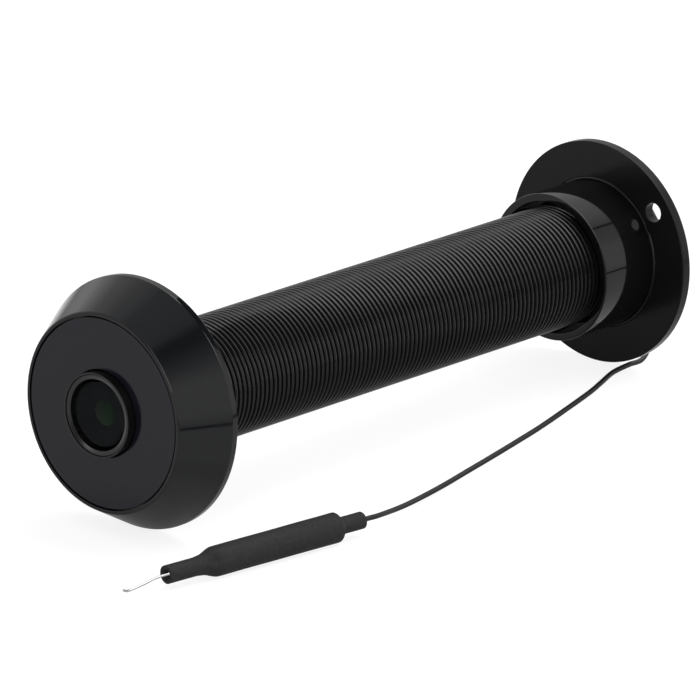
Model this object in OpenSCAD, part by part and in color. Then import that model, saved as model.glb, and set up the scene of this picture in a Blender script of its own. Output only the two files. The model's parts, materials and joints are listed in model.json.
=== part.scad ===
// Peephole door camera. A threaded barrel passes through a door, with a conical bezel and the lens
// outside, and a flange with its sleeve nut inside. The boards and sockets are in the barrel.
// The barrel's axis is Y and the door's outer face is at y = 0. The lens looks along -Y, and Z is up.

/* [Barrel] */
// Outside diameter of the barrel's thread
barrel_d = 20; // [19.5:0.5:24]
// Pitch of the barrel's thread
thread_pitch = 1; // [0.75:0.25:1.5]
// Wall of the barrel, from its bore to the thread's crest
barrel_wall = 1.5; // [1.3:0.1:1.8]
// Length of the barrel from the door's outer face to its rear end
barrel_len = 113; // [113:1:150]

/* [Bezel] */
// Diameter of the bezel's rim
bezel_d = 40.6; // [38:0.2:46]
// Height of the bezel in front of the door
bezel_h = 9; // [7.5:0.25:10]
// Width of the plain land round the rim
rim_land = 1.2; // [0.6:0.1:2]
// Diameter of the bezel's front edge
face_d = 32.2; // [30:0.2:36]
// Width of the lip round the face plate
lip_w = 0.55; // [0.3:0.05:0.8]
// Thickness of the web behind the face plate
web_t = 1.3; // [1:0.1:2]
// Depth to which the full thread enters the bezel's back
socket_lead = 1.5; // [1:0.1:2.5]

/* [Face plate] */
// Thickness of the face plate
plate_t = 1.2; // [0.8:0.1:1.6]
// Depth of the face plate behind the lip
plate_recess = 0.1; // [0.05:0.05:0.3]
// Width of the dark seam round the face plate
seam_w = 0.25; // [0.2:0.05:0.6]

/* [Lens] */
// Height of the lens head in front of the face plate
lens_proud = 1.5; // [1:0.1:3]
// Width of the shoulder between the lens head and its thread
lens_shoulder = 0.85; // [0.6:0.05:1]
// Length of lens thread in the holder
thread_engage = 8.5; // [7:0.5:10]
// Wall of the lens head round the front lens
head_wall = 0.3; // [0.25:0.05:0.7]
// Width of the retaining ring
retainer_w = 0.75; // [0.4:0.05:1]
// Height of the front lens's outer curve inside the retaining ring
dome_rise = 0.55; // [0.4:0.05:1.5]
// Depth of the front lens's back face behind the head's front
front_lens_depth = 1.1; // [1:0.1:3.2]
// Wall of the lens tube round the spacer and the rear lens
lens_wall = 0.7; // [0.5:0.05:1]
// Wall of the lens spacer at its front
spacer_wall = 0.5; // [0.4:0.05:1]
// Diameter of the stop at the back of the lens spacer
stop_d = 4.2; // [4:0.1:6]
// Length of the lens spacer
spacer_len = 1; // [1:0.25:5]
// Thickness of the rear lens at its axis, behind the spacer
rear_lens_t = 3; // [1.5:0.1:4]
// Height of the rear lens's curve
rear_lens_bulge = 0.3; // [0.2:0.05:0.5]

/* [Lens holder] */
// Thickness of the rubber seal between the bezel's web and the lens holder
seal_t = 3; // [2:0.25:4]
// Width of the rubber seal round the lens head
seal_w = 1.2; // [0.8:0.05:1.5]
// Length of bare lens thread between the head and the holder
head_standoff = 1.2; // [0.8:0.1:1.6]
// Thickness of the ledge that carries the filter
ledge_t = 0.8; // [0.5:0.1:1.2]
// Diameter of the light opening in the ledge
light_d = 6.4; // [5:0.2:7]
// Width of the filter on its ledge, beside the light opening
filter_lap = 0.3; // [0.2:0.05:0.6]
// Thickness of the infrared filter
filter_t = 0.4; // [0.3:0.1:0.6]
// Gap between the sensor and the sides of the cavity over it
sensor_room = 0.7; // [0.4:0.1:1]
// Depth of the cavity over the sensor
cavity_d = 2.6; // [2:0.1:3.2]
// Width of the image sensor
sensor_w = 7; // [5:0.2:7.6]
// Thickness of the image sensor
sensor_t = 1.3; // [0.8:0.1:1.6]
// Diameter of the holder screws
holder_screw_d = 1.2; // [1:0.05:1.3]
// Diameter of the holder screws' heads
holder_screw_head_d = 2.2; // [1.8:0.1:2.4]
// Height of the holder screws' heads
holder_screw_head_h = 0.7; // [0.5:0.1:1]
// Length of the holder screws' shanks
holder_screw_len = 4.5; // [3:0.25:5]

/* [Boards] */
// Thickness of the sensor board and the main board
board_t = 1; // [0.8:0.1:1.2]
// Width of the flexible strip between the boards
flex_w = 6; // [4:0.5:6.5]
// Thickness of the flexible strip
flex_t = 0.2; // [0.15:0.05:0.3]
// Bend radius inside the flexible strip
flex_bend = 0.9; // [0.6:0.1:1.4]
// Height above the board at which the strip enters its connector
flex_rise = 0.5; // [0.4:0.1:0.8]
// Height to which the strip reaches up the sensor board
flex_top = 6.2; // [5:0.1:6.6]
// Length of the flat strip
flex_run = 5; // [3:0.5:8]
// Width, length and height of the strip's connector
flex_connector = [8, 3.2, 1.4]; // [0.5:0.1:12]
// Width, length and height of the image processor
processor = [9, 9, 1.2]; // [0.5:0.1:12]
// Width, length and height of the flash memory
flash = [5.2, 6, 1.6]; // [0.5:0.1:12]
// Width, length and height of the crystal
crystal_size = [3.2, 2.5, 0.8]; // [0.5:0.1:5]
// Width, length and height of a power inductor
inductor = [4, 4, 2]; // [0.5:0.1:6]
// Width, length and height of a capacitor
capacitor = [0.8, 1.6, 0.8]; // [0.4:0.1:3]
// Capacitors along each side of the processor
capacitor_count = 6; // [2:1:8]
// Width, length and thickness of the radio board
radio = [12, 17, 0.8]; // [0.5:0.1:20]
// Length and height of the radio's shield
shield = [12, 1.5]; // [1:0.1:14]
// Sheet thickness of the radio's shield
shield_wall = 0.25; // [0.15:0.05:0.4]
// Width, length and height of the radio chip
radio_chip_size = [5, 5, 0.9]; // [0.5:0.1:9]
// Distance of the radio board's front end from the rear cap
radio_reach = 32; // [30:0.5:45]
// Gap between neighbours along the main board
part_gap = 3; // [1:0.5:5]

/* [Antenna connector] */
// Distance of the connector from the radio board's rear end
connector_inset = 2; // [1.5:0.1:2.5]
// Width of the connector's base
connector_w = 2.6; // [2.2:0.1:3]
// Thickness of the connector's base
connector_t = 0.35; // [0.2:0.05:0.6]
// Diameter of the connector's post
post_d = 1.8; // [1.4:0.1:2]
// Height of the connector's post
post_h = 0.95; // [0.6:0.05:1.2]
// Wall of the plug's shell
plug_wall = 0.4; // [0.25:0.05:0.6]
// Thickness of the plug's cover over the post
plug_cover = 0.25; // [0.15:0.05:0.4]
// Length of the plug's crimp
crimp_len = 2.4; // [1.5:0.1:4]
// Wall of the plug's crimp
crimp_wall = 0.3; // [0.2:0.05:0.4]

/* [Rear cap] */
// Thickness of the cap's plug inside the barrel
plug_t = 2.4; // [2:0.1:4]
// Thickness of the cap's flange behind the barrel
cap_t = 1.6; // [1:0.1:3]
// Section diameter of the cap's seal ring
cap_seal_d = 0.9; // [0.6:0.1:1]
// Width, length and thickness of the memory card
card_size = [11, 15, 0.8]; // [0.7:0.1:15]
// Length of the card that stands out of the cap
card_proud = 0.8; // [0.5:0.1:2]
// Sheet thickness of the card socket
card_socket_wall = 0.4; // [0.3:0.05:0.6]
// Width of the power socket
power_socket_w = 7.5; // [7:0.1:8]
// Height of the power socket
power_socket_h = 2.6; // [2.4:0.1:3]
// Length of the power socket
power_socket_len = 6; // [5:0.25:7]
// Sheet thickness of the power socket
power_socket_wall = 0.3; // [0.2:0.05:0.4]
// Gap between the power socket and the reset switch
side_gap = 0.4; // [0.3:0.1:0.8]
// Depth of the power socket's mouth inside the cap's rear face
power_socket_inset = 0.5; // [0.2:0.1:1]
// Width, length and thickness of the power socket's tongue
tongue = [5, 3.8, 0.6]; // [0.4:0.1:6]
// Width, length and height of the reset switch
switch_size = [4.4, 3.4, 2.2]; // [1:0.1:5]
// Diameter of the reset button
button_d = 1.8; // [1.4:0.1:2]
// Diameter of the reset button's stem
stem_d = 1; // [0.7:0.1:1.2]
// Length of the stem in the switch
stem_len = 0.75; // [0.5:0.05:1]
// Height of the reset button behind the cap
button_proud = 0.3; // [0:0.05:0.6]
// Travel of the reset button
button_travel = 0.3; // [0.2:0.05:0.4]

/* [Flange and nut] */
// Distance of the flange's seat from the barrel's rear end
seat_inset = 5; // [5:1:60]
// Thickness of the flange
flange_t = 1.8; // [1.4:0.1:2.4]
// Width of the flange outside the collar
flange_w = 6.25; // [5.5:0.25:10]
// Depth of the flange's recess for the nut's shoulder
recess_depth = 0.5; // [0.3:0.05:0.8]
// Gap round the collar in the flange's recess
recess_gap = 0.3; // [0.15:0.05:0.5]
// Distance of the screw holes from the flange's rim
screw_inset = 3.45; // [2.5:0.05:4]
// Diameter of the flange's screw holes
screw_hole_d = 3.2; // [2.5:0.1:3.4]
// Angle of the first screw hole above the X axis
screw_angle = 37; // [0:1:180]
// Length of the nut's collar in front of the flange
collar_len = 11.8; // [8:0.2:20]
// Wall of the collar at its mouth
collar_wall = 1.3; // [1:0.1:2]
// Radial gap between the thread and the collar's mouth
mouth_gap = 0.9; // [0.5:0.1:1.5]
// Depth of the collar's mouth
mouth_depth = 4.5; // [2:0.25:6]
// Width of the nut's shoulder in front of the flange
shoulder_w = 0.6; // [0.4:0.05:0.8]
// Thickness of the nut's clip
clip_t = 0.8; // [0.6:0.1:1]
// Height of the clip above the nut's spigot
clip_w = 1.4; // [0.8:0.1:1.6]
// Width of the opening in the clip
clip_opening = 8; // [6:0.5:10]
// Depth of the clip in the nut's spigot
clip_bite = 0.6; // [0.4:0.05:0.7]
// Length of the nut's spigot behind the clip
nut_tail = 1.2; // [0.8:0.1:1.6]
// Width of the nut's spanner slots
spanner_slot_w = 2.4; // [1.5:0.1:3]
// Depth of the nut's spanner slots
spanner_slot_d = 0.8; // [0.4:0.1:1]

/* [Antenna] */
// Diameter of the antenna lead
lead_d = 0.84; // [0.7:0.01:1.2]
// Gap between the grommet's lip and the power socket's window
grommet_gap = 0.3; // [0.2:0.05:0.5]
// Wall of the cap between the grommet and the seal's groove
grommet_wall = 0.45; // [0.3:0.05:1]
// Diameter of the grommet's neck in the cap
grommet_neck_d = 2.8; // [2.4:0.1:3]
// Diameter of the grommet's lips
grommet_lip_d = 4; // [3.6:0.1:4.2]
// Thickness of the grommet's lips
grommet_lip_t = 0.8; // [0.5:0.1:1]
// Length of the grommet's tail
grommet_tail = 3.4; // [2:0.1:5]
// Diameter of the grommet's tail at its end
grommet_tail_d = 1.7; // [1.5:0.1:2]
// Diameter of the antenna's sleeve
sleeve_d = 4.9; // [4.4:0.1:5]
// Diameter of the sleeve's rear neck
rear_neck_d = 2.8; // [2.2:0.1:3.4]
// Length of the sleeve's rear neck
rear_neck_len = 4.7; // [3:0.1:6]
// Diameter of the sleeve's front neck
front_neck_d = 3; // [2.6:0.1:3.4]
// Length of the sleeve's front neck
front_neck_len = 8; // [5:0.25:10]
// Length of the sleeve's taper
sleeve_taper = 2.5; // [1:0.25:5]
// Wall of the sleeve
sleeve_wall = 0.5; // [0.3:0.05:0.6]
// Wall of the metal tube in the sleeve
tube_wall = 0.3; // [0.2:0.05:0.5]
// Diameter of the antenna's bare wire
wire_d = 0.4; // [0.3:0.05:0.6]
// Length of lead inside the sleeve
lead_in = 6; // [5.5:0.25:8]
// Gap between the lead and the flange's rim
pass_gap = 0.2; // [0.15:0.05:1]

/* [Clearances] */
// Radial gap where pieces fit together
fit_gap = 0.05; // [0.03:0.01:0.08]
// Radial and axial gap where the nut runs
run_gap = 0.05; // [0.03:0.01:0.1]
// Radial gap where pieces slide into the barrel
slide_gap = 0.25; // [0.15:0.05:0.3]
// Gap round pieces that pass through the cap
window_gap = 0.2; // [0.1:0.05:0.25]
// Gap round the lens head
head_gap = 0.2; // [0.1:0.05:0.3]
// Gap between the thread and the bezel's back
entry_gap = 0.3; // [0.2:0.05:0.5]
// Break of the visible metal edges
edge = 0.2; // [0.1:0.05:0.3]

/* [Hidden] */
$fn = 96;
// Reach of a cut past the faces that it goes through
past = 1;

// Barrel and bezel
barrel_r = barrel_d / 2;
bore_r = barrel_r - barrel_wall;
entry_r = barrel_r + entry_gap;
crest_w = thread_pitch / 4;
flank_w = (thread_pitch - crest_w) / 2;
// Depth of the thread for each unit of its pitch
thread_share = 0.55;
thread_depth = thread_share * thread_pitch;
root_r = barrel_r - thread_depth;
spigot_r = root_r - fit_gap;
// Plain end behind the last ring of the thread
runout = thread_pitch / 2;
turns = floor((barrel_len + socket_lead - runout) / thread_pitch);
rim_r = bezel_d / 2;
face_r = face_d / 2;
pocket_r = face_r - lip_w;
holder_r = bore_r - slide_gap;
head_hole_r = holder_r - seal_w;
head_r = head_hole_r - head_gap;
bezel_front = -bezel_h;
plate_front = bezel_front + plate_recess;
plate_back = plate_front + plate_t;
web_back = plate_back + web_t;

// Lens, from the front of its head to its tail
lens_front = plate_front - lens_proud;
holder_front = web_back + seal_t;
head_back = holder_front - head_standoff;
lens_thread_r = head_r - lens_shoulder;
lens_tail = holder_front + thread_engage;
glass_r = head_r - head_wall - fit_gap;
window_r = glass_r - retainer_w;
ring_recess = 0.1;
dome_front = lens_front - ring_recess;
dome_r = (window_r ^ 2 + dome_rise ^ 2) / (2 * dome_rise);
glass_back = lens_front + front_lens_depth;
spacer_r = lens_thread_r - lens_wall - 2 * fit_gap;
stop_r = stop_d / 2;
lens_bore_r = spacer_r - spacer_wall;
spacer_back = glass_back + spacer_len;
rear_lens_back = spacer_back + rear_lens_t;
rear_dome_r = (stop_r ^ 2 + rear_lens_bulge ^ 2) / (2 * rear_lens_bulge);

// Lens holder and boards
filter_w = light_d + 2 * filter_lap;
cavity_w = sensor_w + 2 * sensor_room;
holder_screw_angle = 45;
holder_screw_at = (holder_r + cavity_w / sqrt(2)) / 2;
holder_bore_end = lens_tail + head_standoff / 2;
ledge_back = holder_bore_end + ledge_t;
pocket_back = ledge_back + filter_t + fit_gap;
holder_back = pocket_back + cavity_d;
sensor_board_back = holder_back + board_t;
board_front = sensor_board_back;
board_top = board_t / 2;
board_half_w = sqrt(bore_r ^ 2 - board_top ^ 2) - slide_gap;
screw_r = holder_screw_d / 2;
processor_front = board_front + flex_run + flex_connector.y + part_gap;
crystal_front = processor_front + processor.y + part_gap;
flash_front = crystal_front + crystal_size.y + part_gap;
inductor_front = board_front + part_gap;

// Rear cap
barrel_end = barrel_len;
plug_front = barrel_end - plug_t;
board_end = plug_front;
cap_back = barrel_end + cap_t;
plug_r = bore_r - fit_gap;
cap_r = root_r - fit_gap;
seal_r = cap_seal_d / 2;
seal_at_r = plug_r - seal_r;
seal_groove_r = seal_at_r - seal_r - fit_gap;
seal_groove_w = cap_seal_d + 4 * fit_gap;
seal_at = barrel_end - plug_t / 2;
card_rear = cap_back + card_proud;
card_front = card_rear - card_size.y;
card_lift = board_top + card_socket_wall + fit_gap;
card_slot = [card_size.x + 2 * window_gap, card_size.z + 2 * fit_gap];
card_socket_front = card_front - slide_gap - card_socket_wall;
power_rear = cap_back - power_socket_inset;
power_front = power_rear - power_socket_len;
// The power socket and the switch stand side by side under the board
pair_w = power_socket_w + side_gap + switch_size.x;
power_socket_x = (power_socket_w - pair_w) / 2;
switch_x = (pair_w - switch_size.x) / 2;
switch_face = board_end - slide_gap;
switch_mid = -board_top - switch_size.z / 2;
button_front = switch_face + button_travel + window_gap;
stem_hole_front = switch_face - stem_len - button_travel - window_gap;

// Flange and nut
seat_gap = barrel_len - seat_inset;
mouth_r = barrel_r + mouth_gap;
collar_r = mouth_r + collar_wall;
collar_front = seat_gap - collar_len;
nut_bore_r = barrel_r + run_gap;
nut_spigot_r = collar_r - shoulder_w;
flange_r = collar_r + flange_w;
flange_back = seat_gap + flange_t;
recess_r = collar_r + recess_gap;
recess_back = seat_gap + recess_depth;
screw_circle_r = flange_r - screw_inset;
clip_front = flange_back + run_gap;
groove_r = nut_spigot_r - clip_bite;
groove_back = clip_front + clip_t + run_gap;
nut_back = groove_back + nut_tail;

// Radio and its antenna connector, along the barrel
radio_front = plug_front - radio_reach;
radio_bottom = -board_top - radio.z;
connector_y = radio_front + radio.y - connector_inset;
connector_bottom = radio_bottom - connector_t;
post_r = post_d / 2;
plug_r_in = post_r + fit_gap;
plug_r_out = plug_r_in + plug_wall;
plug_bottom = connector_bottom - post_h - fit_gap - plug_cover;
crimp_front = connector_y + plug_r_out;
crimp_end = crimp_front + crimp_len;

// Antenna lead and sleeve
lead_r = lead_d / 2;
lead_sides = 8;
lead_steps = 3;
crimp_r = lead_r + fit_gap + crimp_wall;
crimp_z = connector_bottom - crimp_r - fit_gap;
// The grommet sits near the plug's wall, below the power socket
grommet_drop = max(
    seal_groove_r - grommet_wall - fit_gap - grommet_neck_d / 2,
    board_top + power_socket_h + window_gap + grommet_gap + grommet_lip_d / 2
);
grommet_back = cap_back + grommet_lip_t + grommet_tail;
grommet_front = plug_front - grommet_lip_t;
grommet_bore_r = lead_r + fit_gap;
sleeve_r = sleeve_d / 2;
cavity_r = sleeve_r - sleeve_wall;
// Side of the axis on which a lead that lies on the table passes the flange
pass_x = sqrt((flange_r + lead_r + pass_gap) ^ 2 - (flange_r - lead_r) ^ 2);
// Height of the table, on which the bezel's rim and the flange rest
function table(y) = -rim_r + (rim_r - flange_r) * y / flange_back;
// Lead behind the cap: side, distance behind the barrel, and share of the way down to the table
lead_drop = [[0.4, 10.4, 0.08], [1.2, 11.3, 0.27], [2.4, 10.2, 0.52], [3.8, 7, 0.73], [5.1, 3, 0.86]];
// Lead beside the flange: side past the flange's gap, and distance behind the barrel
lead_pass = [[0, -0.6], [0.2, -4.2], [0.9, -9], [3, -14.5], [4.9, -19.6]];
// Lead along the table: side, place along the barrel, and share of the way up to the sleeve
lead_along = [
    [14, 84, 0], [16.5, 75.4, 0], [18.6, 67, 0], [20.5, 59, 0], [22.2, 51.5, 0], [24.2, 43.6, 0.07],
    [26.4, 35.5, 0.29], [28.5, 28.5, 0.64]
];
// Side and place along the barrel of the sleeve's two ends
sleeve_rear_at = [29.6, 19.4];
sleeve_front_at = [23.7, -21.3];
// Bare wire: side, place along the barrel, and height as a share of the sleeve's middle height
wire_along = [[23.3, -24.3, 0.82], [22.95, -27, 0.67], [22.9, -28, 0.68], [22.85, -28.7, 0.81]];
sleeve_rear = [sleeve_rear_at.x, sleeve_rear_at.y, table(sleeve_rear_at.y) + sleeve_r];
sleeve_front = [sleeve_front_at.x, sleeve_front_at.y, table(sleeve_front_at.y) + sleeve_r];
sleeve_len = norm(sleeve_front - sleeve_rear);
sleeve_dir = (sleeve_front - sleeve_rear) / sleeve_len;
tube_front = sleeve_len - front_neck_len - sleeve_taper - sleeve_wall;
tube_rear = rear_neck_len + sleeve_wall;
// Straight lead behind the grommet, behind the sleeve and at the plug
lead_straight = 2.5;
lead_path = concat(
    [[0, grommet_front, -grommet_drop], [0, grommet_back, -grommet_drop],
     [0, grommet_back + lead_straight, -grommet_drop]],
    [for (p = lead_drop) [
        p.x, barrel_end + p.y,
        (p.z - 1) * grommet_drop + p.z * (table(barrel_end) + lead_r)
    ]],
    [for (p = lead_pass) [pass_x + p.x, barrel_end + p.y, table(barrel_end + p.y) + lead_r]],
    [for (p = lead_along) [p.x, p.y, table(p.y) + lead_r + p.z * (sleeve_r - lead_r)]],
    [sleeve_rear - lead_straight * sleeve_dir, sleeve_rear, sleeve_rear + lead_in * sleeve_dir]
);
pigtail_path = [
    [0, crimp_front, crimp_z], [0, crimp_end, crimp_z], [0, crimp_end + lead_straight, crimp_z],
    [0, (crimp_end + grommet_front) / 2, (crimp_z - grommet_drop) / 2],
    [0, grommet_front - lead_straight, -grommet_drop], [0, grommet_front - window_gap, -grommet_drop]
];
wire_path = concat(
    [sleeve_rear + lead_in * sleeve_dir, (sleeve_rear + sleeve_front) / 2,
     sleeve_front - front_neck_len * sleeve_dir, sleeve_front],
    [for (p = wire_along) [p.x, p.y, table(p.y) + p.z * sleeve_r]]
);

// A point on the smooth curve through p, a share t of the way from point i to the next
function smooth(p, i, t) =
    let (n = len(p) - 1, b = p[i], c = p[i + 1])
    let (a = i > 0 ? p[i - 1] : 2 * b - c, d = i + 1 < n ? p[i + 2] : 2 * c - b)
    (2 * b + (c - a) * t + (2 * a - 5 * b + 4 * c - d) * t ^ 2 + (3 * b - a - 3 * c + d) * t ^ 3) / 2;
function smoothed(p, steps) = concat(
    [for (i = [0 : len(p) - 2]) for (k = [0 : steps - 1]) smooth(p, i, k / steps)],
    [p[len(p) - 1]]
);
function unit(v) = v / norm(v);
// The ring of points round point i of a curve
function ring_at(p, i, r, sides, level) =
    let (ahead = unit(p[min(i + 1, len(p) - 1)] - p[max(i - 1, 0)]))
    let (across = unit(cross(level, ahead)), over = cross(ahead, across))
    [for (k = [0 : sides - 1]) p[i] + r * (cos(360 * k / sides) * across + sin(360 * k / sides) * over)];

// A tube along the smooth curve through the points, level across the given direction
module swept(points, r, sides, steps, level) {
    p = smoothed(points, steps);
    last = len(p) - 1;
    walls = [
        for (i = [0 : last - 1]) for (k = [0 : sides - 1])
        let (a = i * sides + k, b = i * sides + (k + 1) % sides)
        each [[a, a + sides, b + sides], [a, b + sides, b]]
    ];
    ends = [
        for (k = [1 : sides - 2])
        each [[0, k, k + 1], [last * sides, last * sides + k + 1, last * sides + k]]
    ];
    polyhedron(
        points = [for (i = [0 : last]) each ring_at(p, i, r, sides, level)],
        faces = concat(walls, ends)
    );
}

// A solid turned about the Y axis from [radius, y] points
module turned(points) {
    rotate([-90, 0, 0])
        rotate_extrude()
            polygon(points);
}

module ring(r_in, r_out, y0, y1) {
    turned([[r_in, y0], [r_out, y0], [r_out, y1], [r_in, y1]]);
}

module disc(r, y0, y1) {
    ring(0, r, y0, y1);
}

// A round bar along Y through x, z
module bar(r, x, z, y0, y1) {
    translate([x, 0, z])
        disc(r, y0, y1);
}

// A box centred across the barrel at x, from y0, standing on z0
module block(size, x, y0, z0) {
    translate([x - size.x / 2, y0, z0])
        cube(size);
}

// A box under the main board
module hung(size, x, y0) {
    block(size, x, y0, -board_top - size.z);
}

// A square bar on the barrel's axis
module square_bar(w, y0, y1) {
    translate([-w / 2, y0, -w / 2])
        cube([w, y1 - y0, w]);
}

module at_holder_screws() {
    for (turn = [holder_screw_angle, holder_screw_angle + 180])
        translate([holder_screw_at * cos(turn), 0, holder_screw_at * sin(turn)])
            children();
}

module at_sleeve() {
    translate(sleeve_rear)
        rotate([0, acos(sleeve_dir.z), atan2(sleeve_dir.y, sleeve_dir.x)])
            rotate_extrude()
                children();
}

module front_bezel() {
    color("#1d1e20")
        turned([
            [entry_r, 0], [rim_r - edge, 0], [rim_r, -edge], [rim_r, -rim_land], [face_r, bezel_front],
            [pocket_r, bezel_front], [pocket_r, plate_back], [head_hole_r, plate_back],
            [head_hole_r, web_back], [spigot_r + fit_gap, web_back], [spigot_r + fit_gap, -socket_lead],
            [entry_r, -socket_lead]
        ]);
}

module face_plate() {
    color("#313236")
        ring(head_hole_r, pocket_r - seam_w, plate_front, plate_back);
}

module lens_barrel() {
    seat_r = glass_r + fit_gap;
    inner_r = spacer_r + fit_gap;
    color("#2b2c2e")
        turned([
            [seat_r, lens_front], [head_r - edge, lens_front], [head_r, lens_front + edge],
            [head_r, head_back], [lens_thread_r - fit_gap, head_back],
            [lens_thread_r - fit_gap, lens_tail], [lens_bore_r, lens_tail],
            [lens_bore_r, rear_lens_back], [inner_r, rear_lens_back], [inner_r, glass_back],
            [seat_r, glass_back]
        ]);
}

module lens_retaining_ring() {
    ring_front = lens_front + ring_recess;
    ring_back = dome_front + dome_rise - fit_gap / 2;
    ring_break = (ring_back - ring_front) / 2;
    color("#404144")
        turned([
            [window_r + ring_break, ring_front], [glass_r, ring_front], [glass_r, ring_back],
            [window_r, ring_back], [window_r, ring_front + ring_break]
        ]);
}

module front_lens() {
    color("#20262a")
        intersection() {
            disc(glass_r, dome_front - past, glass_back);
            translate([0, dome_front + dome_r, 0])
                sphere(dome_r);
        }
}

module lens_spacer() {
    color("#17181a")
        turned([
            [lens_bore_r, glass_back], [spacer_r, glass_back], [spacer_r, spacer_back], [stop_r, spacer_back]
        ]);
}

module rear_lens() {
    dome_at = spacer_back - rear_lens_bulge + fit_gap / 2;
    color("#2a3238")
        intersection() {
            disc(spacer_r, dome_at - past, rear_lens_back);
            translate([0, dome_at + rear_dome_r, 0])
                sphere(rear_dome_r);
        }
}

module lens_seal() {
    color("#141414")
        ring(head_hole_r, holder_r, web_back, holder_front);
}

module lens_holder() {
    color("#18191b")
        difference() {
            disc(holder_r, holder_front, holder_back);
            disc(lens_thread_r, holder_front - past, holder_bore_end);
            disc(light_d / 2, holder_bore_end - past, ledge_back + past);
            square_bar(filter_w + 2 * fit_gap, ledge_back, holder_back);
            square_bar(cavity_w, pocket_back, holder_back + past);
            at_holder_screws()
                disc(screw_r + fit_gap, sensor_board_back - holder_screw_len - fit_gap, holder_back + past);
        }
}

module infrared_filter() {
    color("#3c5560")
        square_bar(filter_w, ledge_back, ledge_back + filter_t);
}

module image_sensor() {
    color("#24282c")
        square_bar(sensor_w, holder_back - sensor_t, holder_back);
}

module sensor_board() {
    color("#1f4d33")
        difference() {
            disc(holder_r, holder_back, sensor_board_back);
            at_holder_screws()
                disc(screw_r + fit_gap, holder_back - past, sensor_board_back + past);
        }
}

module holder_screws() {
    slot_w = holder_screw_d / 4;
    slot_d = holder_screw_head_h / 2;
    head_back_y = sensor_board_back + holder_screw_head_h;
    color("#8d9094")
        at_holder_screws()
            difference() {
                union() {
                    disc(screw_r, sensor_board_back - holder_screw_len, sensor_board_back);
                    disc(holder_screw_head_d / 2, sensor_board_back, head_back_y);
                }
                translate([-holder_screw_head_d, head_back_y - slot_d, -slot_w / 2])
                    cube([2 * holder_screw_head_d, slot_d + past, slot_w]);
            }
}

// The strip lies flat on the sensor board's back, bends and runs level into its socket
module sensor_flex() {
    low = board_top + flex_rise;
    bend_r = flex_bend + flex_t;
    color("#a86c2c")
        translate([-flex_w / 2, board_front, 0])
            rotate([90, 0, 90])
                linear_extrude(flex_w) {
                    translate([0, low + bend_r])
                        square([flex_t, flex_top - low - bend_r]);
                    translate([bend_r, low])
                        square([flex_run - bend_r, flex_t]);
                    translate([bend_r, low + bend_r])
                        intersection() {
                            difference() {
                                circle(bend_r);
                                circle(flex_bend);
                            }
                            translate([-bend_r, -bend_r])
                                square(bend_r);
                        }
                }
}

module flex_socket() {
    color("#d8d4c8")
        block(flex_connector, 0, board_front + flex_run, board_top);
}

module main_board() {
    color("#1f4d33")
        translate([-board_half_w, board_front, -board_top])
            cube([2 * board_half_w, board_end - board_front, board_t]);
}

module image_processor() {
    color("#26282a")
        block(processor, 0, processor_front, board_top);
}

module flash_memory() {
    color("#2a2a2c")
        block(flash, 0, flash_front, board_top);
}

module crystal() {
    color("#b9bcc0")
        block(crystal_size, 0, crystal_front, board_top);
}

module power_inductors() {
    color("#4a4a4c")
        for (side = [-1, 1])
            hung(inductor, side * inductor.x, inductor_front);
}

module board_capacitors() {
    // The rows reach from the processor's front past its back
    step = processor.y / (capacitor_count - 2);
    color("#b08a5a")
        for (side = [-1, 1], i = [0 : capacitor_count - 1])
            block(
                capacitor, side * (processor.x / 2 + capacitor.x), processor_front + i * step, board_top
            );
}

module radio_board() {
    color("#1d3f5c")
        hung(radio, 0, radio_front);
}

module radio_shield() {
    w = radio.x - 4 * shield_wall;
    front = radio_front + shield_wall;
    color("#b8babc")
        difference() {
            block([w, shield.x, shield.y], 0, front, radio_bottom - shield.y);
            block(
                [w - 2 * shield_wall, shield.x - 2 * shield_wall, shield.y], 0, front + shield_wall,
                radio_bottom - shield.y + shield_wall
            );
        }
}

module radio_chip() {
    middle = radio_front + shield_wall + shield.x / 2;
    color("#222426")
        block(radio_chip_size, 0, middle - radio_chip_size.y / 2, radio_bottom - radio_chip_size.z);
}

module antenna_socket() {
    color("#c8a24a")
        union() {
            block(
                [connector_w, connector_w, connector_t], 0, connector_y - connector_w / 2, connector_bottom
            );
            translate([0, connector_y, connector_bottom - post_h])
                cylinder(r = post_r, h = post_h);
        }
}

module antenna_plug() {
    post_room = post_h + fit_gap;
    color("#d0ae58")
        difference() {
            union() {
                translate([0, connector_y, plug_bottom])
                    cylinder(r = plug_r_out, h = connector_bottom - plug_bottom);
                bar(crimp_r, 0, crimp_z, connector_y + plug_r_in, crimp_end);
            }
            translate([0, connector_y, connector_bottom - post_room])
                cylinder(r = plug_r_in, h = post_room + past);
            bar(lead_r + fit_gap, 0, crimp_z, crimp_front, crimp_end + past);
        }
}

module antenna_pigtail() {
    color("#1a1a1b")
        swept(pigtail_path, lead_r, lead_sides, lead_steps, [1, 0, 0]);
}

module card_socket() {
    size = [
        card_slot.x + 2 * card_socket_wall, board_end - card_socket_front, card_slot.y + 2 * card_socket_wall
    ];
    color("#c0c2c4")
        difference() {
            block(size, 0, card_socket_front, board_top);
            block(
                [card_slot.x, size.y, card_slot.y], 0, card_socket_front + card_socket_wall,
                board_top + card_socket_wall
            );
        }
}

module memory_card() {
    color("#151617")
        block(card_size, 0, card_front, card_lift);
}

module power_socket() {
    size = [power_socket_w, power_socket_len, power_socket_h];
    inner = [size.x - 2 * power_socket_wall, size.y, size.z - 2 * power_socket_wall];
    color("#c4c6c8")
        difference() {
            hung(size, power_socket_x, power_front);
            block(
                inner, power_socket_x, power_front + power_socket_wall,
                -board_top - size.z + power_socket_wall
            );
        }
}

module power_socket_tongue() {
    color("#1c1c1d")
        block(
            tongue, power_socket_x, power_front + power_socket_wall,
            -board_top - power_socket_h / 2 - tongue.z / 2
        );
}

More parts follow.
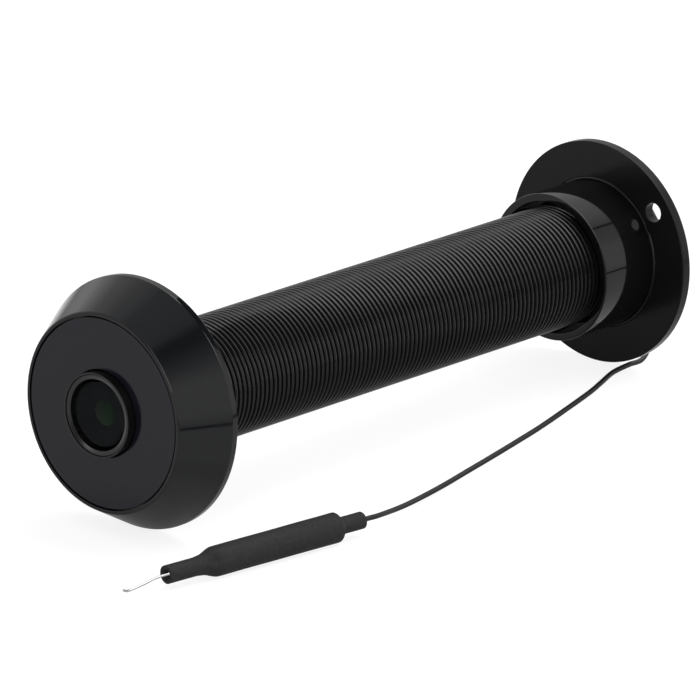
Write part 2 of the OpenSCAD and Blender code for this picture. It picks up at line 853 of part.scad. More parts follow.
module reset_switch() {
    color("#d0d0cc")
        difference() {
            hung(switch_size, switch_x, switch_face - switch_size.y);
            bar(stem_d / 2 + fit_gap, switch_x, switch_mid, stem_hole_front, switch_face + past);
        }
}

module reset_button() {
    color("#2c2d2f")
        union() {
            bar(stem_d / 2, switch_x, switch_mid, switch_face - stem_len, button_front);
            bar(button_d / 2, switch_x, switch_mid, button_front, cap_back + button_proud);
        }
}

module rear_cap() {
    groove_front = seal_at - seal_groove_w / 2;
    groove_end = seal_at + seal_groove_w / 2;
    depth = cap_back - plug_front + 2 * past;
    power_window = [power_socket_w + 2 * window_gap, depth, power_socket_h + 2 * window_gap];
    color("#1b1c1e")
        difference() {
            turned([
                [0, plug_front], [plug_r, plug_front], [plug_r, groove_front], [seal_groove_r, groove_front],
                [seal_groove_r, groove_end], [plug_r, groove_end], [plug_r, barrel_end], [cap_r, barrel_end],
                [cap_r, cap_back - edge], [cap_r - edge, cap_back], [0, cap_back]
            ]);
            block(
                [card_slot.x, depth, card_slot.y], 0, plug_front - past, board_top + card_socket_wall
            );
            block(power_window, power_socket_x, plug_front - past, -board_top - power_socket_h - window_gap);
            bar(button_d / 2 + window_gap, switch_x, switch_mid, plug_front - past, cap_back + past);
            bar(grommet_neck_d / 2 + fit_gap, 0, -grommet_drop, plug_front - past, cap_back + past);
        }
}

module cap_seal() {
    color("#101010")
        translate([0, seal_at, 0])
            rotate([-90, 0, 0])
                rotate_extrude()
                    translate([seal_at_r, 0])
                        circle(seal_r);
}

module cable_grommet() {
    lip_r = grommet_lip_d / 2;
    neck_r = grommet_neck_d / 2;
    color("#161617")
        translate([0, 0, -grommet_drop])
            turned([
                [grommet_bore_r, grommet_front], [lip_r, grommet_front], [lip_r, plug_front],
                [neck_r, plug_front], [neck_r, cap_back], [lip_r, cap_back],
                [lip_r, cap_back + grommet_lip_t], [neck_r, cap_back + grommet_lip_t],
                [grommet_tail_d / 2, grommet_back], [grommet_bore_r, grommet_back]
            ]);
}

// The thread is a row of rings at its pitch
module threaded_barrel() {
    start = -socket_lead;
    crests = [
        for (i = [0 : turns - 1])
        let (y = start + i * thread_pitch)
        each [[root_r, y], [barrel_r, y + flank_w], [barrel_r, y + flank_w + crest_w]]
    ];
    color("#202124")
        turned(concat(
            [[bore_r, barrel_end], [bore_r, web_back], [spigot_r, web_back], [spigot_r, start]],
            crests,
            [[root_r, start + turns * thread_pitch], [root_r, barrel_end]]
        ));
}

module flange_plate() {
    color("#17181a")
        difference() {
            turned([
                [nut_spigot_r + run_gap, recess_back], [recess_r, recess_back], [recess_r, seat_gap],
                [flange_r - edge, seat_gap], [flange_r, seat_gap + edge], [flange_r, flange_back - edge],
                [flange_r - edge, flange_back], [nut_spigot_r + run_gap, flange_back]
            ]);
            for (turn = [screw_angle, screw_angle + 180])
                bar(
                    screw_hole_d / 2, screw_circle_r * cos(turn), screw_circle_r * sin(turn), seat_gap - past,
                    flange_back + past
                );
        }
}

module sleeve_nut() {
    shoulder = recess_back - run_gap;
    mouth_end = collar_front + mouth_depth;
    color("#17181a")
        difference() {
            turned([
                [mouth_r, collar_front], [collar_r - edge, collar_front], [collar_r, collar_front + edge],
                [collar_r, shoulder], [nut_spigot_r, shoulder], [nut_spigot_r, clip_front - run_gap / 2],
                [groove_r, clip_front - run_gap / 2], [groove_r, groove_back], [nut_spigot_r, groove_back],
                [nut_spigot_r, nut_back], [nut_bore_r, nut_back], [nut_bore_r, mouth_end],
                [mouth_r, mouth_end]
            ]);
            translate([-collar_r, nut_back - spanner_slot_d, -spanner_slot_w / 2])
                cube([2 * collar_r, spanner_slot_d + past, spanner_slot_w]);
        }
}

module nut_clip() {
    color("#3a3b3d")
        difference() {
            ring(groove_r + fit_gap, nut_spigot_r + clip_w, clip_front, clip_front + clip_t);
            translate([-clip_opening / 2, clip_front - past, 0])
                cube([clip_opening, clip_t + 2 * past, nut_spigot_r + 2 * clip_w]);
        }
}

module antenna_lead() {
    color("#1a1a1b")
        swept(lead_path, lead_r, lead_sides, lead_steps, [1, 0, 0]);
}

module antenna_sleeve() {
    neck_front = sleeve_len - front_neck_len;
    front_bore_r = front_neck_d / 2 - sleeve_wall;
    color("#2a2b2c")
        at_sleeve()
            polygon([
                [lead_r + fit_gap, 0], [rear_neck_d / 2, 0], [rear_neck_d / 2, rear_neck_len],
                [sleeve_r, rear_neck_len], [sleeve_r, neck_front - sleeve_taper],
                [front_neck_d / 2, neck_front], [front_neck_d / 2, sleeve_len], [front_bore_r, sleeve_len],
                [front_bore_r, neck_front - sleeve_wall], [cavity_r, tube_front], [cavity_r, tube_rear],
                [lead_r + fit_gap, tube_rear]
            ]);
}

module antenna_tube() {
    color("#b98b3a")
        at_sleeve()
            translate([cavity_r - fit_gap - tube_wall, tube_rear])
                square([tube_wall, tube_front - tube_rear]);
}

module antenna_wire() {
    color("#c8cacc")
        swept(wire_path, wire_d / 2, lead_sides, lead_steps, [0, 0, 1]);
}

front_bezel();
face_plate();
lens_barrel();
lens_retaining_ring();
front_lens();
lens_spacer();
rear_lens();
lens_seal();
lens_holder();
infrared_filter();
image_sensor();
sensor_board();
holder_screws();
sensor_flex();
flex_socket();
main_board();
image_processor();
flash_memory();
crystal();
power_inductors();
board_capacitors();
radio_board();
radio_shield();
radio_chip();
antenna_socket();
antenna_plug();
antenna_pigtail();
card_socket();
memory_card();
power_socket();
power_socket_tongue();
reset_switch();
reset_button();
rear_cap();
cap_seal();
cable_grommet();
threaded_barrel();
flange_plate();
sleeve_nut();
nut_clip();
antenna_lead();
antenna_sleeve();
antenna_tube();
antenna_wire();
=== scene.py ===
"""Peephole door camera: the looks of its pieces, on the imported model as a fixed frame."""
import json
import math

import bmesh
import bpy
from mathutils import Matrix, Vector


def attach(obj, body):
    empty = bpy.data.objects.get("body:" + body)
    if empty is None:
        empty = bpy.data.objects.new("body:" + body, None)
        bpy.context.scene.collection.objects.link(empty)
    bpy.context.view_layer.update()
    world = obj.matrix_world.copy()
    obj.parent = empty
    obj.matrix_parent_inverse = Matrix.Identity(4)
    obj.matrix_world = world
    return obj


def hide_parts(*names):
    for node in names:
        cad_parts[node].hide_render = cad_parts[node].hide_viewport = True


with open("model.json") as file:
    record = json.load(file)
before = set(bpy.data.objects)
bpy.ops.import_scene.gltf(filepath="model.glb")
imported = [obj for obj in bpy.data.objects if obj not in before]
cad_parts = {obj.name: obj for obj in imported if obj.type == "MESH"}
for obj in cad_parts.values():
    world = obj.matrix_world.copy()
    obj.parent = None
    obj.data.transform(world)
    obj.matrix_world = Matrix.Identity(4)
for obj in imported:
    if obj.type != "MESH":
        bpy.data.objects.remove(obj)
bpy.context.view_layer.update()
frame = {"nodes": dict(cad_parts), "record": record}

MM = 0.001
SCENE = bpy.context.scene

# Sizes in mm. The barrel's axis is Y and the door's outer face is at y = 0.
BARREL_R, ROOT_R, BORE_R, PITCH = 10.0, 9.45, 8.5, 1.0
THREAD_START, THREAD_END, BARREL_END = -1.5, 112.5, 113.0
SPIGOT_R, WEB_BACK = 9.4, -6.4
RIM_R, RIM_LAND, FACE_R, POCKET_R, BEZEL_FRONT = 20.3, 1.2, 16.1, 15.55, -9.0
PLATE_R, PLATE_FRONT, PLATE_BACK, HEAD_HOLE_R, ENTRY_R = 15.3, -8.9, -7.7, 7.05, 10.3
HEAD_R, LENS_FRONT, HEAD_BACK, LENS_TAIL, LENS_THREAD_R = 6.85, -10.4, -4.6, 5.1, 5.95
GLASS_R, WINDOW_R, GLASS_BACK, DOME_FRONT, DOME_RISE = 6.5, 5.75, -9.3, -10.5, 0.55
SPACER_R, SPACER_BACK, STOP_R, REAR_LENS_BACK, LENS_BORE_R = 5.2, -8.3, 2.1, -5.3, 4.7
REAR_LENS_BULGE = 0.3
PLUG_FRONT, PLUG_R, CAP_R, CAP_BACK = 110.6, 8.45, 9.4, 114.6
COLLAR_FRONT, COLLAR_R, MOUTH_R, MOUTH_END, NUT_BORE_R = 96.2, 12.2, 10.9, 100.7, 10.05
SHOULDER, NUT_SPIGOT_R, GROOVE_R, GROOVE_BACK, NUT_BACK = 108.45, 11.6, 11.0, 110.7, 111.9
SEAT, RECESS_BACK, FLANGE_BACK, FLANGE_R, RECESS_R = 108.0, 108.5, 109.8, 18.45, 12.5
SCREW_R, SCREW_CIRCLE_R, SCREW_ANGLE = 1.6, 15.0, 37
CLIP_FRONT, CLIP_BACK, CLIP_OUT_R, CLIP_OPENING = 109.85, 110.65, 13.0, 8.0
CAP_SEAL_R, CAP_SEAL_FRONT, CAP_SEAL_BACK, WINDOW_GAP = 7.45, 111.25, 112.35, 0.2
GROMMET_Z, GROMMET_FRONT, GROMMET_BACK, GROMMET_R, GROMMET_NECK_R = -5.6, 109.8, 118.8, 2.0, 1.4
POWER_X, POWER_Z, POWER_W, POWER_H, POWER_WALL = -2.4, -1.8, 7.5, 2.6, 0.3
POWER_FRONT, POWER_BACK = 108.1, 114.1
RESET_X, RESET_Z, RESET_R, RESET_STEM_R = 3.95, -1.6, 0.9, 0.5
CARD_W, CARD_FRONT, CARD_BACK, CARD_LOW, CARD_THICK = 11.0, 100.4, 115.4, 0.95, 0.8
LEAD_R, LEAD_GAP, LEAD_GRIP, WIRE_R, SLEEVE_R, SLEEVE_NECK = 0.42, 0.2, 6.0, 0.2, 2.45, 8.0
EDGE = 0.2

# The camera's angles in degrees, its lens and film, and the point that it looks at, in mm.
CAMERA_SIDE, CAMERA_LIFT, CAMERA_DISTANCE, CAMERA_LENS, CAMERA_FILM = 42.09, 17.30, 1745.6, 565.7, 36
SIGHT_Y, SIGHT_LEFT, SIGHT_DOWN = 50, 1.17, 3.16


# Meshes

def mesh_of(name, verts, faces, sharp=32):
    """A smooth-shaded mesh from points in mm, with its sharper edges kept."""
    mesh = bpy.data.meshes.new(name)
    mesh.from_pydata([Vector(v) * MM for v in verts], [], faces)
    bm = bmesh.new()
    bm.from_mesh(mesh)
    bmesh.ops.remove_doubles(bm, verts=bm.verts, dist=1e-7)
    bmesh.ops.dissolve_degenerate(bm, edges=bm.edges, dist=1e-7)
    bmesh.ops.recalc_face_normals(bm, faces=bm.faces)
    bm.to_mesh(mesh)
    bm.free()
    mesh.shade_smooth()
    mesh.set_sharp_from_angle(angle=math.radians(sharp))
    return mesh


def rounded(points, steps=4):
    """An outline whose corners are rounded from as far off as their third number says."""
    outline = []
    for i, point in enumerate(points):
        here = Vector(point[:2])
        if len(point) < 3:
            outline.append(here)
            continue
        sides = [Vector(points[k % len(points)][:2]) - here for k in (i - 1, i + 1)]
        start, end = [here + side.normalized() * min(point[2], 0.48 * side.length) for side in sides]
        for k in range(steps + 1):
            t = k / steps
            outline.append((1 - t) ** 2 * start + 2 * t * (1 - t) * here + t ** 2 * end)
    return outline


def turned(name, points, steps=160, start=0.0, end=360.0, centre=(0.0, 0.0), sharp=32, swell=None):
    """A closed outline of radius and y, turned about the Y axis through centre, in x and z."""
    outline = rounded(points)
    full = end - start >= 360
    count = steps if full else steps + 1
    verts, faces, rows = [], [], []
    for r, y in outline:
        rows.append(len(verts))
        if r < 1e-6:
            verts.append((centre[0], y, centre[1]))
            continue
        for k in range(count):
            angle = math.radians(start + (end - start) * k / steps)
            out = r * (swell(angle, y) if swell else 1.0)
            verts.append((centre[0] + out * math.cos(angle), y, centre[1] + out * math.sin(angle)))
    for i, low in enumerate(rows):
        high = rows[(i + 1) % len(rows)]
        on_axis = [outline[k % len(outline)][0] < 1e-6 for k in (i, i + 1)]
        if all(on_axis):
            continue
        for k in range(steps):
            n = (k + 1) % count
            corners = [low if on_axis[0] else low + k, high if on_axis[1] else high + k]
            corners += [] if on_axis[1] else [high + n]
            corners += [] if on_axis[0] else [low + n]
            faces.append(corners)
    if not full:
        faces.append(rows)
        faces.append([row + count - 1 for row in rows])
    return mesh_of(name, verts, faces, sharp)


def joined(name, meshes):
    """One mesh made of several."""
    bm = bmesh.new()
    for mesh in meshes:
        bm.from_mesh(mesh)
        bpy.data.meshes.remove(mesh)
    whole = bpy.data.meshes.new(name)
    bm.to_mesh(whole)
    bm.free()
    return whole


def box_outline(w, h, x=0.0, z=0.0, corner=0.3):
    """A rectangle in x and z with rounded corners."""
    half = [(-w / 2, -h / 2), (w / 2, -h / 2), (w / 2, h / 2), (-w / 2, h / 2)]
    return [(x + p[0], z + p[1]) for p in rounded([(a, b, corner) for a, b in half])]


def round_outline(r, x=0.0, z=0.0, steps=48):
    """A circle in x and z."""
    turn = [2 * math.pi * k / steps for k in range(steps)]
    return [(x + r * math.cos(a), z + r * math.sin(a)) for a in turn]


def walls(rings, count):
    """Four-sided faces between rings of count points that follow each other."""
    return [
        [i * count + k, i * count + (k + 1) % count, (i + 1) * count + (k + 1) % count, (i + 1) * count + k]
        for i in range(rings - 1) for k in range(count)
    ]


def stacked(name, rings):
    """A solid through rings of x, z points, each at its y, closed by a flat face at both ends."""
    count = len(rings[0][1])
    verts = [(x, y, z) for y, ring in rings for x, z in ring]
    ends = [[i * count + k for k in range(count)] for i in (0, len(rings) - 1)]
    return mesh_of(name, verts, walls(len(rings), count) + ends)


def grown(ring, by):
    """A ring of x, z points moved outwards by a distance."""
    middle = sum((Vector(p) for p in ring), Vector((0, 0))) / len(ring)
    half = [max(abs(p[i] - middle[i]) for p in ring) for i in (0, 1)]
    return [
        tuple(middle[i] + (p[i] - middle[i]) * (half[i] + by) / half[i] for i in (0, 1)) for p in ring
    ]


def hole(ring, front, back, bevel):
    """A cutter along Y that breaks the edges where it goes in and comes out."""
    return stacked("hole", [
        (front - 1, grown(ring, bevel + 1)), (front, grown(ring, bevel)), (front + bevel, ring),
        (back - bevel, ring), (back, grown(ring, bevel)), (back + 1, grown(ring, bevel + 1)),
    ])


def cut(mesh, tools):
    """The mesh with each tool's shape taken out of it."""
    body = bpy.data.objects.new("stock", mesh)
    SCENE.collection.objects.link(body)
    cutters = []
    for tool in tools:
        cutter = bpy.data.objects.new("tool", tool)
        SCENE.collection.objects.link(cutter)
        cutters.append(cutter)
        step = body.modifiers.new("cut", "BOOLEAN")
        step.operation, step.solver, step.object = "DIFFERENCE", "EXACT", cutter
    bpy.context.view_layer.update()
    view = bpy.context.evaluated_depsgraph_get()
    result = bpy.data.meshes.new_from_object(body.evaluated_get(view))
    result.name = mesh.name
    for obj in [body] + cutters:
        used = obj.data
        bpy.data.objects.remove(obj)
        bpy.data.meshes.remove(used)
    result.shade_smooth()
    result.set_sharp_from_angle(angle=math.radians(32))
    return result


def smooth_line(points, steps=8):
    """Points on the smooth curve through the given points."""
    p = [Vector(v) for v in points]
    line = []
    for i in range(len(p) - 1):
        b, c = p[i], p[i + 1]
        a = p[i - 1] if i else 2 * b - c
        d = p[i + 2] if i + 2 < len(p) else 2 * c - b
        for k in range(steps):
            t = k / steps
            line.append((2 * b + (c - a) * t + (2 * a - 5 * b + 4 * c - d) * t ** 2
                         + (3 * b - a - 3 * c + d) * t ** 3) / 2)
    return line + [p[-1]]


def strand(name, line, radius):
    """A round strand along a line of points in mm, as a curve."""
    curve = bpy.data.curves.new(name, "CURVE")
    curve.dimensions = "3D"
    curve.bevel_depth = radius * MM
    curve.bevel_resolution = 5
    curve.use_fill_caps = True
    spline = curve.splines.new("POLY")
    spline.points.add(len(line) - 1)
    for point, place in zip(spline.points, line):
        point.co = (*(place * MM), 1.0)
    spline.use_smooth = True
    return curve


def piece(name, data, material, body, slot, *stands_for, even=True):
    """An object that rides on a body, in the place of the solids that it stands for."""
    obj = bpy.data.objects.new(name, data)
    SCENE.collection.objects.link(obj)
    data.materials.clear()
    data.materials.append(material)
    if even and obj.type == "MESH":
        normals = obj.modifiers.new("even_normals", "WEIGHTED_NORMAL")
        normals.keep_sharp = True
    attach(obj, body)
    if stands_for:
        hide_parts(*stands_for)
    return obj


# Camera and the antenna's lead

def make_camera():
    lens = bpy.data.cameras.new("studio_camera")
    lens.sensor_width, lens.lens = CAMERA_FILM, CAMERA_LENS
    lens.clip_start, lens.clip_end = 0.1, 20
    camera = bpy.data.objects.new("studio_camera", lens)
    SCENE.collection.objects.link(camera)
    side, lift = math.radians(CAMERA_SIDE), math.radians(CAMERA_LIFT)
    right = Vector((math.cos(side), math.sin(side), 0))
    back = Vector((math.sin(side) * math.cos(lift), -math.cos(side) * math.cos(lift), math.sin(lift)))
    up = back.cross(right)
    middle = Vector((0, SIGHT_Y, 0)) - SIGHT_LEFT * right - SIGHT_DOWN * up
    place = Matrix((right, up, back)).transposed().to_4x4()
    place.translation = (middle + CAMERA_DISTANCE * back) * MM
    camera.matrix_world = place
    SCENE.camera = camera


def table(y):
    """Height of the table, on which the bezel's rim and the flange rest."""
    return -RIM_R + (RIM_R - FLANGE_R) * y / FLANGE_BACK


PASS_X = math.sqrt((FLANGE_R + LEAD_R + LEAD_GAP) ** 2 - (FLANGE_R - LEAD_R) ** 2)
SLEEVE_REAR = Vector((29.6, 19.4, table(19.4) + SLEEVE_R))
SLEEVE_FRONT = Vector((23.7, -21.3, table(-21.3) + SLEEVE_R))
SLEEVE_LEN = (SLEEVE_FRONT - SLEEVE_REAR).length
SLEEVE_DIR = (SLEEVE_FRONT - SLEEVE_REAR) / SLEEVE_LEN
LEAD_PATH = [(0, GROMMET_BACK, GROMMET_Z), (0, GROMMET_BACK + 2.5, GROMMET_Z)]
LEAD_PATH += [
    (x, BARREL_END + y, (1 - s) * GROMMET_Z + s * (table(BARREL_END) + LEAD_R))
    for x, y, s in ((0.4, 10.4, 0.08), (1.2, 11.3, 0.27), (2.4, 10.2, 0.52), (3.8, 7, 0.73), (5.1, 3, 0.86))
]
LEAD_PATH += [
    (PASS_X + x, BARREL_END + y, table(BARREL_END + y) + LEAD_R)
    for x, y in ((0, -0.6), (0.2, -4.2), (0.9, -9), (3, -14.5), (4.9, -19.6))
]
LEAD_PATH += [
    (x, y, table(y) + LEAD_R + s * (SLEEVE_R - LEAD_R))
    for x, y, s in ((14, 84, 0), (16.5, 75.4, 0), (18.6, 67, 0), (20.5, 59, 0), (22.2, 51.5, 0),
                    (24.2, 43.6, 0.07), (26.4, 35.5, 0.29), (28.5, 28.5, 0.64))
]
LEAD_PATH += [SLEEVE_REAR - 2.5 * SLEEVE_DIR, SLEEVE_REAR, SLEEVE_REAR + LEAD_GRIP * SLEEVE_DIR]
WIRE_PATH = [SLEEVE_REAR + LEAD_GRIP * SLEEVE_DIR, (SLEEVE_REAR + SLEEVE_FRONT) / 2]
WIRE_PATH += [SLEEVE_FRONT - SLEEVE_NECK * SLEEVE_DIR, SLEEVE_FRONT]
WIRE_PATH += [
    (x, y, table(y) + s * SLEEVE_R)
    for x, y, s in ((23.3, -24.3, 0.82), (22.95, -27, 0.67), (22.9, -28, 0.68), (22.85, -28.7, 0.81))
]


# Materials

class Tree:
    """Nodes of one material or group, added and joined by name."""

    def __init__(self, tree):
        self.tree = tree

    def add(self, kind, **values):
        node = self.tree.nodes.new(kind)
        for name, value in values.items():
            setattr(node, name, value)
        return node

    def feed(self, node, **values):
        """Sets or joins a node's inputs; _ in a name is a space, and _0 is the first input."""
        for name, value in values.items():
            socket = node.inputs[int(name[1:]) if name[0] == "_" else name.replace("_", " ")]
            if isinstance(value, bpy.types.NodeSocket):
                self.tree.links.new(value, socket)
            else:
                socket.default_value = value
        return node

    def place(self):
        return self.add("ShaderNodeTexCoord").outputs["Object"]

    def split(self, vector):
        return self.feed(self.add("ShaderNodeSeparateXYZ"), Vector=vector).outputs

    def noise(self, at, scale, detail=3.0, roughness=0.55):
        node = self.add("ShaderNodeTexNoise")
        self.feed(node, Vector=at, Scale=scale, Detail=detail, Roughness=roughness)
        return node.outputs["Fac"]

    def spread(self, value, low, high, to_low=0.0, to_high=1.0, soft=False):
        node = self.add("ShaderNodeMapRange", interpolation_type="SMOOTHSTEP" if soft else "LINEAR")
        return self.feed(node, Value=value, From_Min=low, From_Max=high, To_Min=to_low,
                         To_Max=to_high).outputs["Result"]

    def within(self, value, start, full, fade, end):
        """1 from full to fade and 0 outside of start and end, with soft edges."""
        rise, fall = [self.spread(value, *edge, soft=True) for edge in ((start, full), (end, fade))]
        return self.times(rise, fall)

    def calc(self, operation, a, b=0.0):
        return self.feed(self.add("ShaderNodeMath", operation=operation), _0=a, _1=b).outputs[0]

    def times(self, a, b):
        return self.calc("MULTIPLY", a, b)

    def plus(self, a, b):
        return self.calc("ADD", a, b)

    def off(self, value, middle):
        """Distance of a value from the middle, to either side."""
        return self.calc("ABSOLUTE", self.calc("SUBTRACT", value, middle))

    def mix(self, share, a, b, blend="MIX"):
        """Colour a with a share of colour b."""
        node = self.add("ShaderNodeMix", data_type="RGBA", blend_type=blend)
        return self.feed(node, _0=share, _6=a, _7=b).outputs[2]

    def along(self, vector, way):
        node = self.add("ShaderNodeVectorMath", operation="DOT_PRODUCT")
        return self.feed(node, _0=vector, _1=way).outputs["Value"]

    def group(self, group, **values):
        return self.feed(self.add("ShaderNodeGroup", node_tree=group), **values).outputs

    def bump(self, height, depth):
        return self.feed(self.add("ShaderNodeBump"), Height=height, Distance=depth).outputs["Normal"]


def effect(name, inputs, outputs):
    """A shader node group with number inputs and outputs."""
    tree = bpy.data.node_groups.new(name, "ShaderNodeTree")
    for label, value in inputs:
        tree.interface.new_socket(label, in_out="INPUT", socket_type="NodeSocketFloat").default_value = value
    for label in outputs:
        tree.interface.new_socket(label, in_out="OUTPUT", socket_type="NodeSocketFloat")
    nodes = Tree(tree)
    return tree, nodes, nodes.add("NodeGroupInput").outputs, nodes.add("NodeGroupOutput")


def grain_effect():
    """Fine grain, and slow clouds of handling over it."""
    tree, nodes, given, made = effect("fine_grain", [("Scale", 3000.0)], ["Grain", "Clouds"])
    at = nodes.place()
    fine = nodes.noise(at, given["Scale"], detail=2.0, roughness=0.6)
    slow = nodes.noise(at, nodes.times(given["Scale"], 0.06), detail=4.0)
    nodes.feed(made, Grain=nodes.spread(fine, 0.25, 0.75), Clouds=nodes.spread(slow, 0.3, 0.7, soft=True))
    return tree


def dust_effect():
    """Rare specks of dust, a tenth of a mm across."""
    tree, nodes, given, made = effect("dust_specks", [("Scale", 420.0), ("Amount", 0.06)], ["Specks"])
    cells = nodes.add("ShaderNodeTexVoronoi")
    nodes.feed(cells, Vector=nodes.place(), Scale=given["Scale"])
    dot = nodes.spread(cells.outputs["Distance"], 0.05, 0.02, soft=True)
    chance = nodes.add("ShaderNodeSeparateColor")
    nodes.feed(chance, Color=cells.outputs["Color"])
    rare = nodes.calc("LESS_THAN", chance.outputs["Red"], given["Amount"])
    nodes.feed(made, Specks=nodes.times(dot, rare))
    return tree


def tool_mark_effect():
    """Fine rings that the lathe tool leaves round the barrel's axis."""
    tree, nodes, given, made = effect("tool_marks", [("Scale", 9000.0)], ["Height"])
    at = nodes.split(nodes.place())
    flat = nodes.feed(nodes.add("ShaderNodeCombineXYZ"), X=at["X"], Y=at["Z"])
    radius = nodes.feed(nodes.add("ShaderNodeVectorMath", operation="LENGTH"), _0=flat.outputs[0])
    rings = nodes.add("ShaderNodeTexNoise", noise_dimensions="1D")
    nodes.feed(rings, W=nodes.plus(radius.outputs["Value"], at["Y"]), Scale=given["Scale"], Detail=2.0)
    nodes.feed(made, Height=rings.outputs["Fac"])
    return tree


GRAIN, DUST, TOOL_MARKS = grain_effect(), dust_effect(), tool_mark_effect()
FINISH = {}


def blank(name):
    """A new material with its tree and its shader."""
    material = bpy.data.materials.new(name)
    material.use_nodes = True
    nodes = Tree(material.node_tree)
    material.node_tree.nodes.clear()
    shader = nodes.add("ShaderNodeBsdfPrincipled")
    nodes.feed(nodes.add("ShaderNodeOutputMaterial"), Surface=shader.outputs["BSDF"])
    return material, nodes, shader


def grey(level, tint=0.0):
    """A grey, with some blue in it as the tint grows."""
    return (level * (1 - tint), level, level * (1 + 2 * tint), 1.0)


def surface(name, dark, light, rough, scale=3000.0, relief=2e-6, dust=0.0, marks=0.0, **shader_values):
    """A finish with grain in its colour and relief, clouds in its gloss, dust and tool marks."""
    material, nodes, shader = blank(name)
    grain = nodes.group(GRAIN, Scale=scale)
    colour = nodes.mix(grain["Grain"], dark, light)
    height = grain["Grain"]
    if dust:
        specks = nodes.group(DUST, Amount=dust)["Specks"]
        colour = nodes.mix(specks, colour, grey(0.3))
        height = nodes.plus(height, specks)
    if marks:
        rings = nodes.times(nodes.group(TOOL_MARKS)["Height"], marks)
        height = nodes.plus(height, rings)
    nodes.feed(
        shader, Base_Color=colour, Roughness=nodes.spread(grain["Clouds"], 0, 1, rough[0], rough[1]),
        Normal=nodes.bump(height, relief), **shader_values,
    )
    FINISH[name] = material


def board(name, mask, copper):
    """A circuit board: solder mask over tracks, with rows of plated holes."""
    material, nodes, shader = blank(name)
    at = nodes.place()
    tracks = nodes.add("ShaderNodeTexBrick", offset=0.37, squash=0.6)
    nodes.feed(tracks, Vector=at, Scale=260.0, Mortar_Size=0.012, Mortar_Smooth=0.2,
               Color1=mask, Color2=tuple(0.86 * c for c in mask[:3]) + (1.0,), Mortar=copper)
    holes = nodes.add("ShaderNodeTexVoronoi")
    nodes.feed(holes, Vector=at, Scale=380.0, Randomness=0.25)
    pads = nodes.spread(holes.outputs["Distance"], 0.17, 0.13, soft=True)
    grain = nodes.group(GRAIN, Scale=5000.0)
    nodes.feed(
        shader, Base_Color=nodes.mix(pads, tracks.outputs["Color"], (0.62, 0.45, 0.16, 1.0)), Metallic=pads,
        Roughness=nodes.spread(grain["Clouds"], 0, 1, 0.28, 0.42),
        Normal=nodes.bump(nodes.plus(tracks.outputs["Fac"], grain["Grain"]), 4e-6),
    )
    FINISH[name] = material


def glass(name, tint, bending):
    """Glass with a faint tint and a trace of cleaning marks; where it is coated, its bending is low."""
    material, nodes, shader = blank(name)
    grain = nodes.group(GRAIN, Scale=900.0)
    nodes.feed(
        shader, Base_Color=nodes.mix(grain["Clouds"], tint, tuple(0.94 * c for c in tint[:3]) + (1.0,)),
        Roughness=nodes.spread(grain["Clouds"], 0, 1, 0.0, 0.015), IOR=bending,
        Transmission_Weight=1.0, Specular_Tint=(0.55, 1.0, 0.75, 1.0),
    )
    FINISH[name] = material


surface("bezel_black", grey(0.003, 0.1), grey(0.005, 0.1), (0.07, 0.11), marks=0.5, dust=0.02,
        relief=8e-7, IOR=1.33)
surface("face_satin", (0.0048, 0.0045, 0.0085, 1.0), (0.0068, 0.0065, 0.0115, 1.0), (0.1, 0.16),
        dust=0.015, relief=8e-7, IOR=1.31)
surface("barrel_black", grey(0.0045, 0.02), grey(0.0065, 0.02), (0.12, 0.2), dust=0.03, IOR=1.3)
surface("flange_black", grey(0.0055, 0.02), grey(0.007, 0.02), (0.16, 0.22), dust=0.01, relief=5e-7,
        IOR=1.22)
surface("collar_gloss", grey(0.003, 0.02), grey(0.005, 0.02), (0.04, 0.07), dust=0.01, relief=4e-7,
        IOR=1.32)
surface("lens_housing", grey(0.0035), grey(0.0055), (0.16, 0.24), marks=0.6, dust=0.03, IOR=1.33)
surface("lens_ring_black", grey(0.005), grey(0.009), (0.2, 0.3), marks=0.6, dust=0.04, IOR=1.4)
surface("baffle_black", (0.0042, 0.0036, 0.0047, 1.0), (0.0058, 0.005, 0.0066, 1.0), (0.6, 0.7),
        relief=3e-6, IOR=1.12)
glass("lens_glass", (0.91, 0.94, 0.95, 1.0), 1.06)
glass("filter_glass", (0.45, 0.8, 0.82, 1.0), 1.5)
surface("black_plastic", grey(0.01), grey(0.02), (0.34, 0.48), scale=4200.0, relief=6e-6)
surface("pale_plastic", (0.62, 0.59, 0.52, 1.0), (0.74, 0.72, 0.66, 1.0), (0.38, 0.5), scale=2600.0,
        relief=3e-6)
surface("rubber_black", grey(0.01), grey(0.018), (0.55, 0.72), scale=3600.0, relief=8e-6, dust=0.03)
board("circuit_green", (0.012, 0.11, 0.045, 1.0), (0.03, 0.21, 0.09, 1.0))
board("circuit_blue", (0.012, 0.045, 0.16, 1.0), (0.03, 0.1, 0.28, 1.0))
surface("flex_amber", (0.36, 0.13, 0.02, 1.0), (0.52, 0.23, 0.05, 1.0), (0.22, 0.34), scale=1500.0,
        relief=3e-6)
surface("chip_black", grey(0.013), grey(0.026), (0.45, 0.58), scale=6000.0, relief=4e-6)
surface("ceramic_tan", (0.34, 0.2, 0.09, 1.0), (0.52, 0.36, 0.2, 1.0), (0.35, 0.5), scale=5000.0,
        relief=3e-6)
surface("tinned_steel", grey(0.5), grey(0.68), (0.2, 0.36), scale=2400.0, relief=3e-6, Metallic=1.0)
surface("spring_steel", grey(0.05), grey(0.1), (0.26, 0.4), scale=2400.0, relief=3e-6, Metallic=1.0)
surface("gilt_brass", (0.7, 0.43, 0.13, 1.0), (0.86, 0.6, 0.24, 1.0), (0.16, 0.3), Metallic=1.0)
surface("lead_jacket", grey(0.005), grey(0.008), (0.38, 0.5), scale=2600.0, relief=3e-6, IOR=1.36)
surface("shrink_sleeve", grey(0.021), grey(0.029), (0.5, 0.62), scale=1800.0, relief=8e-6, dust=0.02,
        IOR=1.1)
